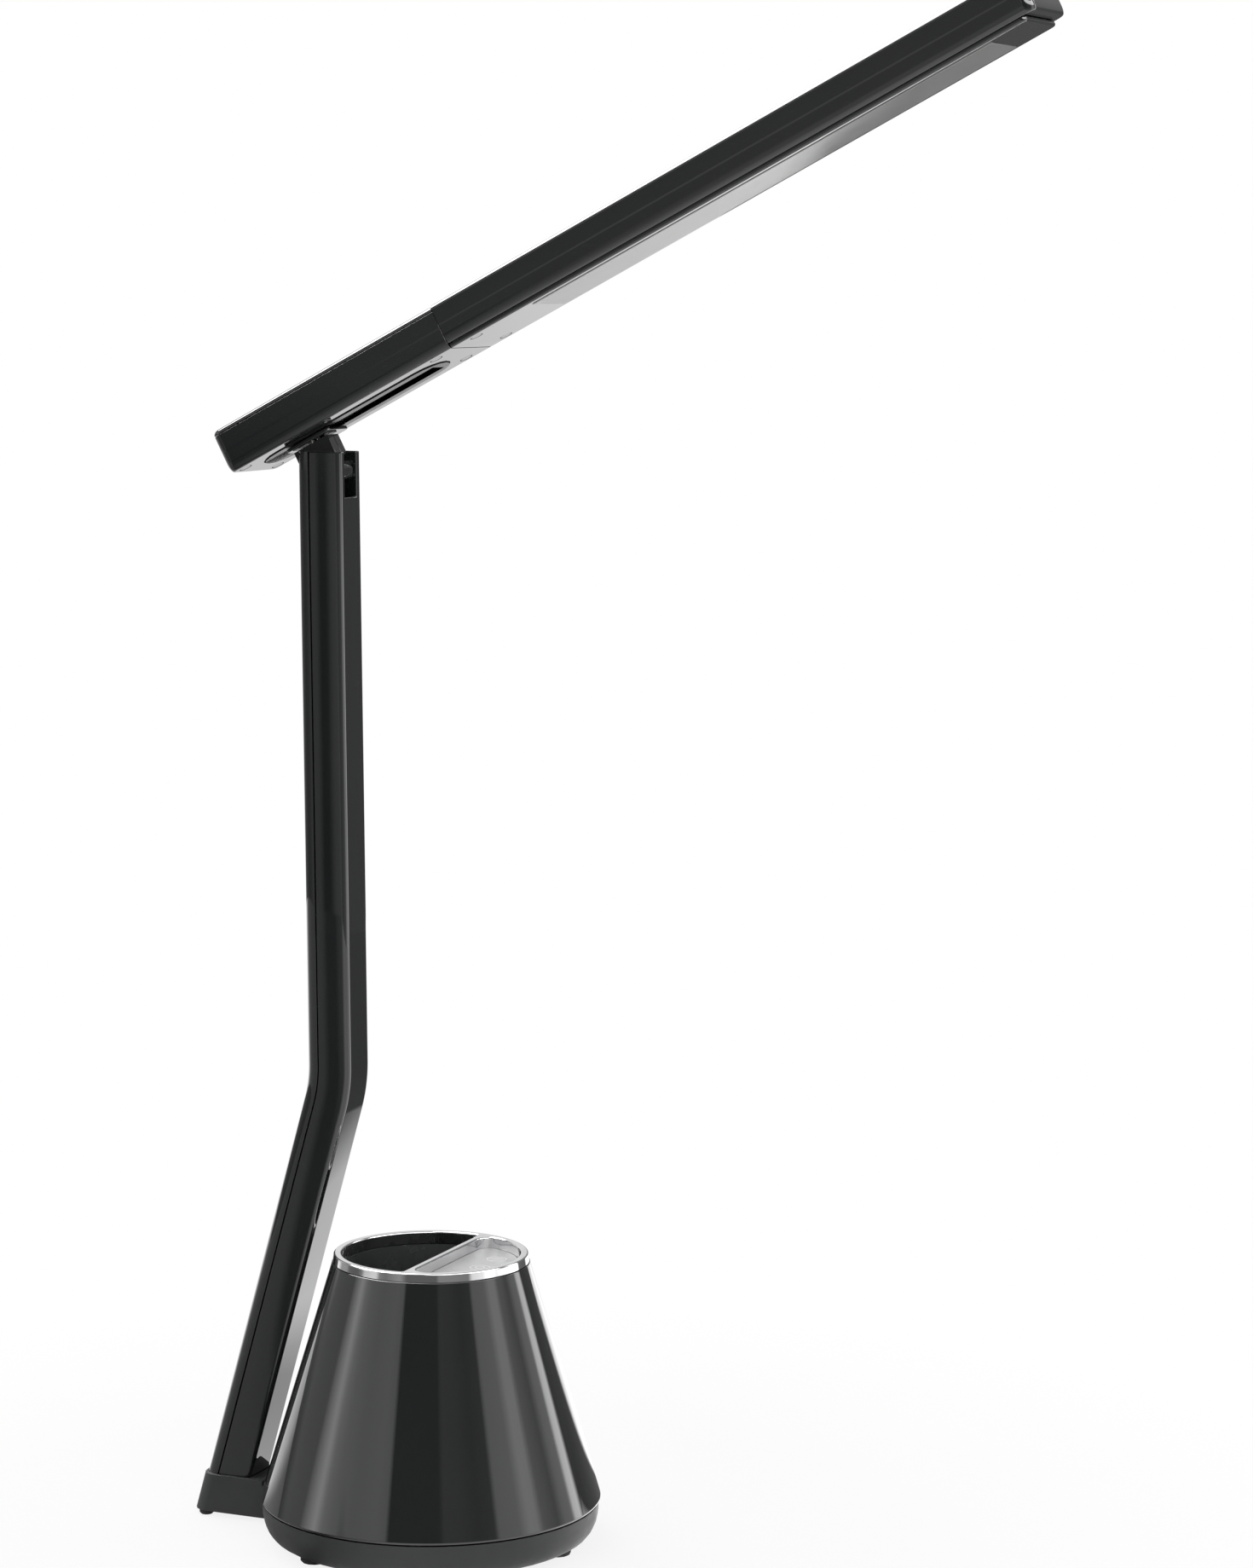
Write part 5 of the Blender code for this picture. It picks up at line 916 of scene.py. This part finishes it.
def build_world():
    world = bpy.data.worlds.new("studio")
    bpy.context.scene.world = world
    world.use_nodes = True
    tree = world.node_tree
    ambient = tree.nodes["Background"]
    ambient.inputs["Color"].default_value = (1.0, 1.0, 1.0, 1.0)
    ambient.inputs["Strength"].default_value = AMBIENT
    plain = tree.nodes.new("ShaderNodeBackground")
    plain.inputs["Color"].default_value = (1.0, 1.0, 1.0, 1.0)
    plain.inputs["Strength"].default_value = 1.0
    mix = tree.nodes.new("ShaderNodeMixShader")
    tree.links.new(seen_rays(tree), mix.inputs[0])
    tree.links.new(ambient.outputs[0], mix.inputs[1])
    tree.links.new(plain.outputs[0], mix.inputs[2])
    tree.links.new(mix.outputs[0], tree.nodes["World Output"].inputs["Surface"])


def sky_bearing(tree):
    """Bearing of a stage object's own point about its z axis, from 0 to 1."""
    place = tree.nodes.new("ShaderNodeTexCoord")
    parts = tree.nodes.new("ShaderNodeSeparateXYZ")
    tree.links.new(place.outputs["Object"], parts.inputs[0])
    turn = tree.nodes.new("ShaderNodeMath")
    turn.operation = "ARCTAN2"
    tree.links.new(parts.outputs["Y"], turn.inputs[0])
    tree.links.new(parts.outputs["X"], turn.inputs[1])
    bearing = tree.nodes.new("ShaderNodeMath")
    bearing.operation = "MULTIPLY_ADD"
    bearing.inputs[1].default_value = 1 / math.tau
    bearing.inputs[2].default_value = 0.5
    tree.links.new(turn.outputs[0], bearing.inputs[0])
    return bearing.outputs[0], parts.outputs["Z"], place.outputs["Object"]


def brightness_ramp(tree, bearing, lights):
    ramp = tree.nodes.new("ShaderNodeValToRGB")
    stops = ramp.color_ramp.elements
    while len(stops) < len(lights):
        stops.new(1.0)
    for stop, (degrees, level) in zip(stops, lights):
        stop.position = degrees / 360 + 0.5
        stop.color = (*[level / ROOM_PEAK] * 3, 1.0)
    tree.links.new(bearing, ramp.inputs["Fac"])
    return ramp.outputs["Color"]


def fade(tree, value, span, low=0.0, high=1.0):
    node = tree.nodes.new("ShaderNodeMapRange")
    for name, number in zip(("From Min", "From Max", "To Min", "To Max"),
                            (*span, low, high)):
        node.inputs[name].default_value = number
    tree.links.new(value, node.inputs["Value"])
    return node.outputs["Result"]


def shader_mix(tree, amount, first, second):
    node = tree.nodes.new("ShaderNodeMixShader")
    tree.links.new(amount, node.inputs[0])
    tree.links.new(first, node.inputs[1])
    tree.links.new(second, node.inputs[2])
    return node.outputs[0]


def glow(tree, strength, colour=None):
    node = tree.nodes.new("ShaderNodeEmission")
    node.inputs["Strength"].default_value = strength
    if colour:
        tree.links.new(colour, node.inputs["Color"])
    return node.outputs[0]


def stage_material(name):
    material = bpy.data.materials.new(name)
    material.use_nodes = True
    tree = material.node_tree
    return material, tree, tree.nodes["Material Output"].inputs["Surface"]


def build_table():
    """Round pale table that goes over into the white background."""
    table = mesh_object("table", rod(TABLE_RADIUS, TABLE_BOTTOM, TABLE_TOP, DISC_SIDES))
    table.rotation_euler.z = ROOM_BEARING
    material, tree, surface = stage_material("pale_table")
    shader = tree.nodes["Principled BSDF"]
    shader.inputs["Base Color"].default_value = (*[TABLE_TONE] * 3, 1.0)
    shader.inputs["Roughness"].default_value = TABLE_ROUGHNESS
    bearing, _, place = sky_bearing(tree)
    reach = tree.nodes.new("ShaderNodeVectorMath")
    reach.operation = "LENGTH"
    tree.links.new(place, reach.inputs[0])
    path = tree.nodes.new("ShaderNodeLightPath")
    share = tree.nodes.new("ShaderNodeMath")
    share.operation = "MULTIPLY"
    tree.links.new(fade(tree, reach.outputs["Value"], (TABLE_FADE / 2, TABLE_FADE),
                        TABLE_GLOW, 1.0), share.inputs[0])
    tree.links.new(path.outputs["Is Camera Ray"], share.inputs[1])
    plain = shader_mix(tree, share.outputs[0], shader.outputs[0], glow(tree, 1.0))
    sheen = glow(tree, ROOM_PEAK, brightness_ramp(tree, bearing, TABLE_SHEEN))
    tree.links.new(shader_mix(tree, path.outputs["Is Glossy Ray"], plain, sheen), surface)
    table.data.materials.append(material)


def only_reflected(obj):
    for ray in ("camera", "diffuse", "shadow", "transmission", "volume_scatter"):
        setattr(obj, "visible_" + ray, False)


def build_wall():
    """Round wall that only reflections see, with tall soft lights and dark cards."""
    turns = [math.tau * i / WALL_SIDES for i in range(WALL_SIDES)]
    shape = bmesh.new()
    lower, upper = [
        [shape.verts.new((ROOM_RADIUS * math.cos(a), ROOM_RADIUS * math.sin(a), height))
         for a in turns] for height in (ROOM_LOW, ROOM_HIGH)]
    for i in range(WALL_SIDES):
        j = (i + 1) % WALL_SIDES
        shape.faces.new((lower[i], lower[j], upper[j], upper[i]))
    wall = mesh_object("reflection_wall", shape)
    wall.rotation_euler.z = ROOM_BEARING
    material, tree, surface = stage_material("soft_lights")
    bearing, height, _ = sky_bearing(tree)
    light = brightness_ramp(tree, bearing, ROOM_LOW_LIGHTS)
    for span, lights in ROOM_BANDS:
        mix = tree.nodes.new("ShaderNodeMix")
        mix.data_type = "RGBA"
        tree.links.new(fade(tree, height, span), mix.inputs["Factor"])
        tree.links.new(light, mix.inputs[6])
        tree.links.new(brightness_ramp(tree, bearing, lights), mix.inputs[7])
        light = mix.outputs[2]
    tree.links.new(glow(tree, ROOM_PEAK, light), surface)
    wall.data.materials.append(material)
    only_reflected(wall)


def build_ceiling():
    """Round ceiling that only reflections see."""
    ceiling = mesh_object("ceiling_light", rod(ROOM_RADIUS, CEILING_HEIGHT,
                                               CEILING_HEIGHT + OVERRUN, DISC_SIDES))
    ceiling.rotation_euler.z = ROOM_BEARING
    material, tree, surface = stage_material("ceiling_soft_light")
    bearing, _, _ = sky_bearing(tree)
    light = brightness_ramp(tree, bearing, CEILING_LIGHTS)
    tree.links.new(glow(tree, ROOM_PEAK, light), surface)
    ceiling.data.materials.append(material)
    only_reflected(ceiling)


def build_lamps():
    for name, place, side, radiance in LAMPS:
        data = bpy.data.lights.new(name, "AREA")
        data.shape = "SQUARE"
        data.size = side
        data.energy = radiance * math.pi * side ** 2
        lamp = bpy.data.objects.new(name, data)
        bpy.context.scene.collection.objects.link(lamp)
        lamp.location = place
        aim = Vector(LAMP_TARGET) - Vector(place)
        lamp.rotation_euler = aim.to_track_quat("-Z", "Y").to_euler()
        lamp.visible_camera = False
        lamp.visible_glossy = False


def build_scene():
    clear_defaults()
    look = make_materials()
    build_cone(look)
    build_bezel(look)
    build_panel(look)
    build_arm(look)
    build_rear_section(look)
    build_front_section(look)
    build_plugs(look)
    build_plain_nodes(look)
    build_camera()
    build_world()
    build_table()
    build_wall()
    build_ceiling()
    build_lamps()
    bpy.context.scene.view_settings.view_transform = "Standard"


build_scene()
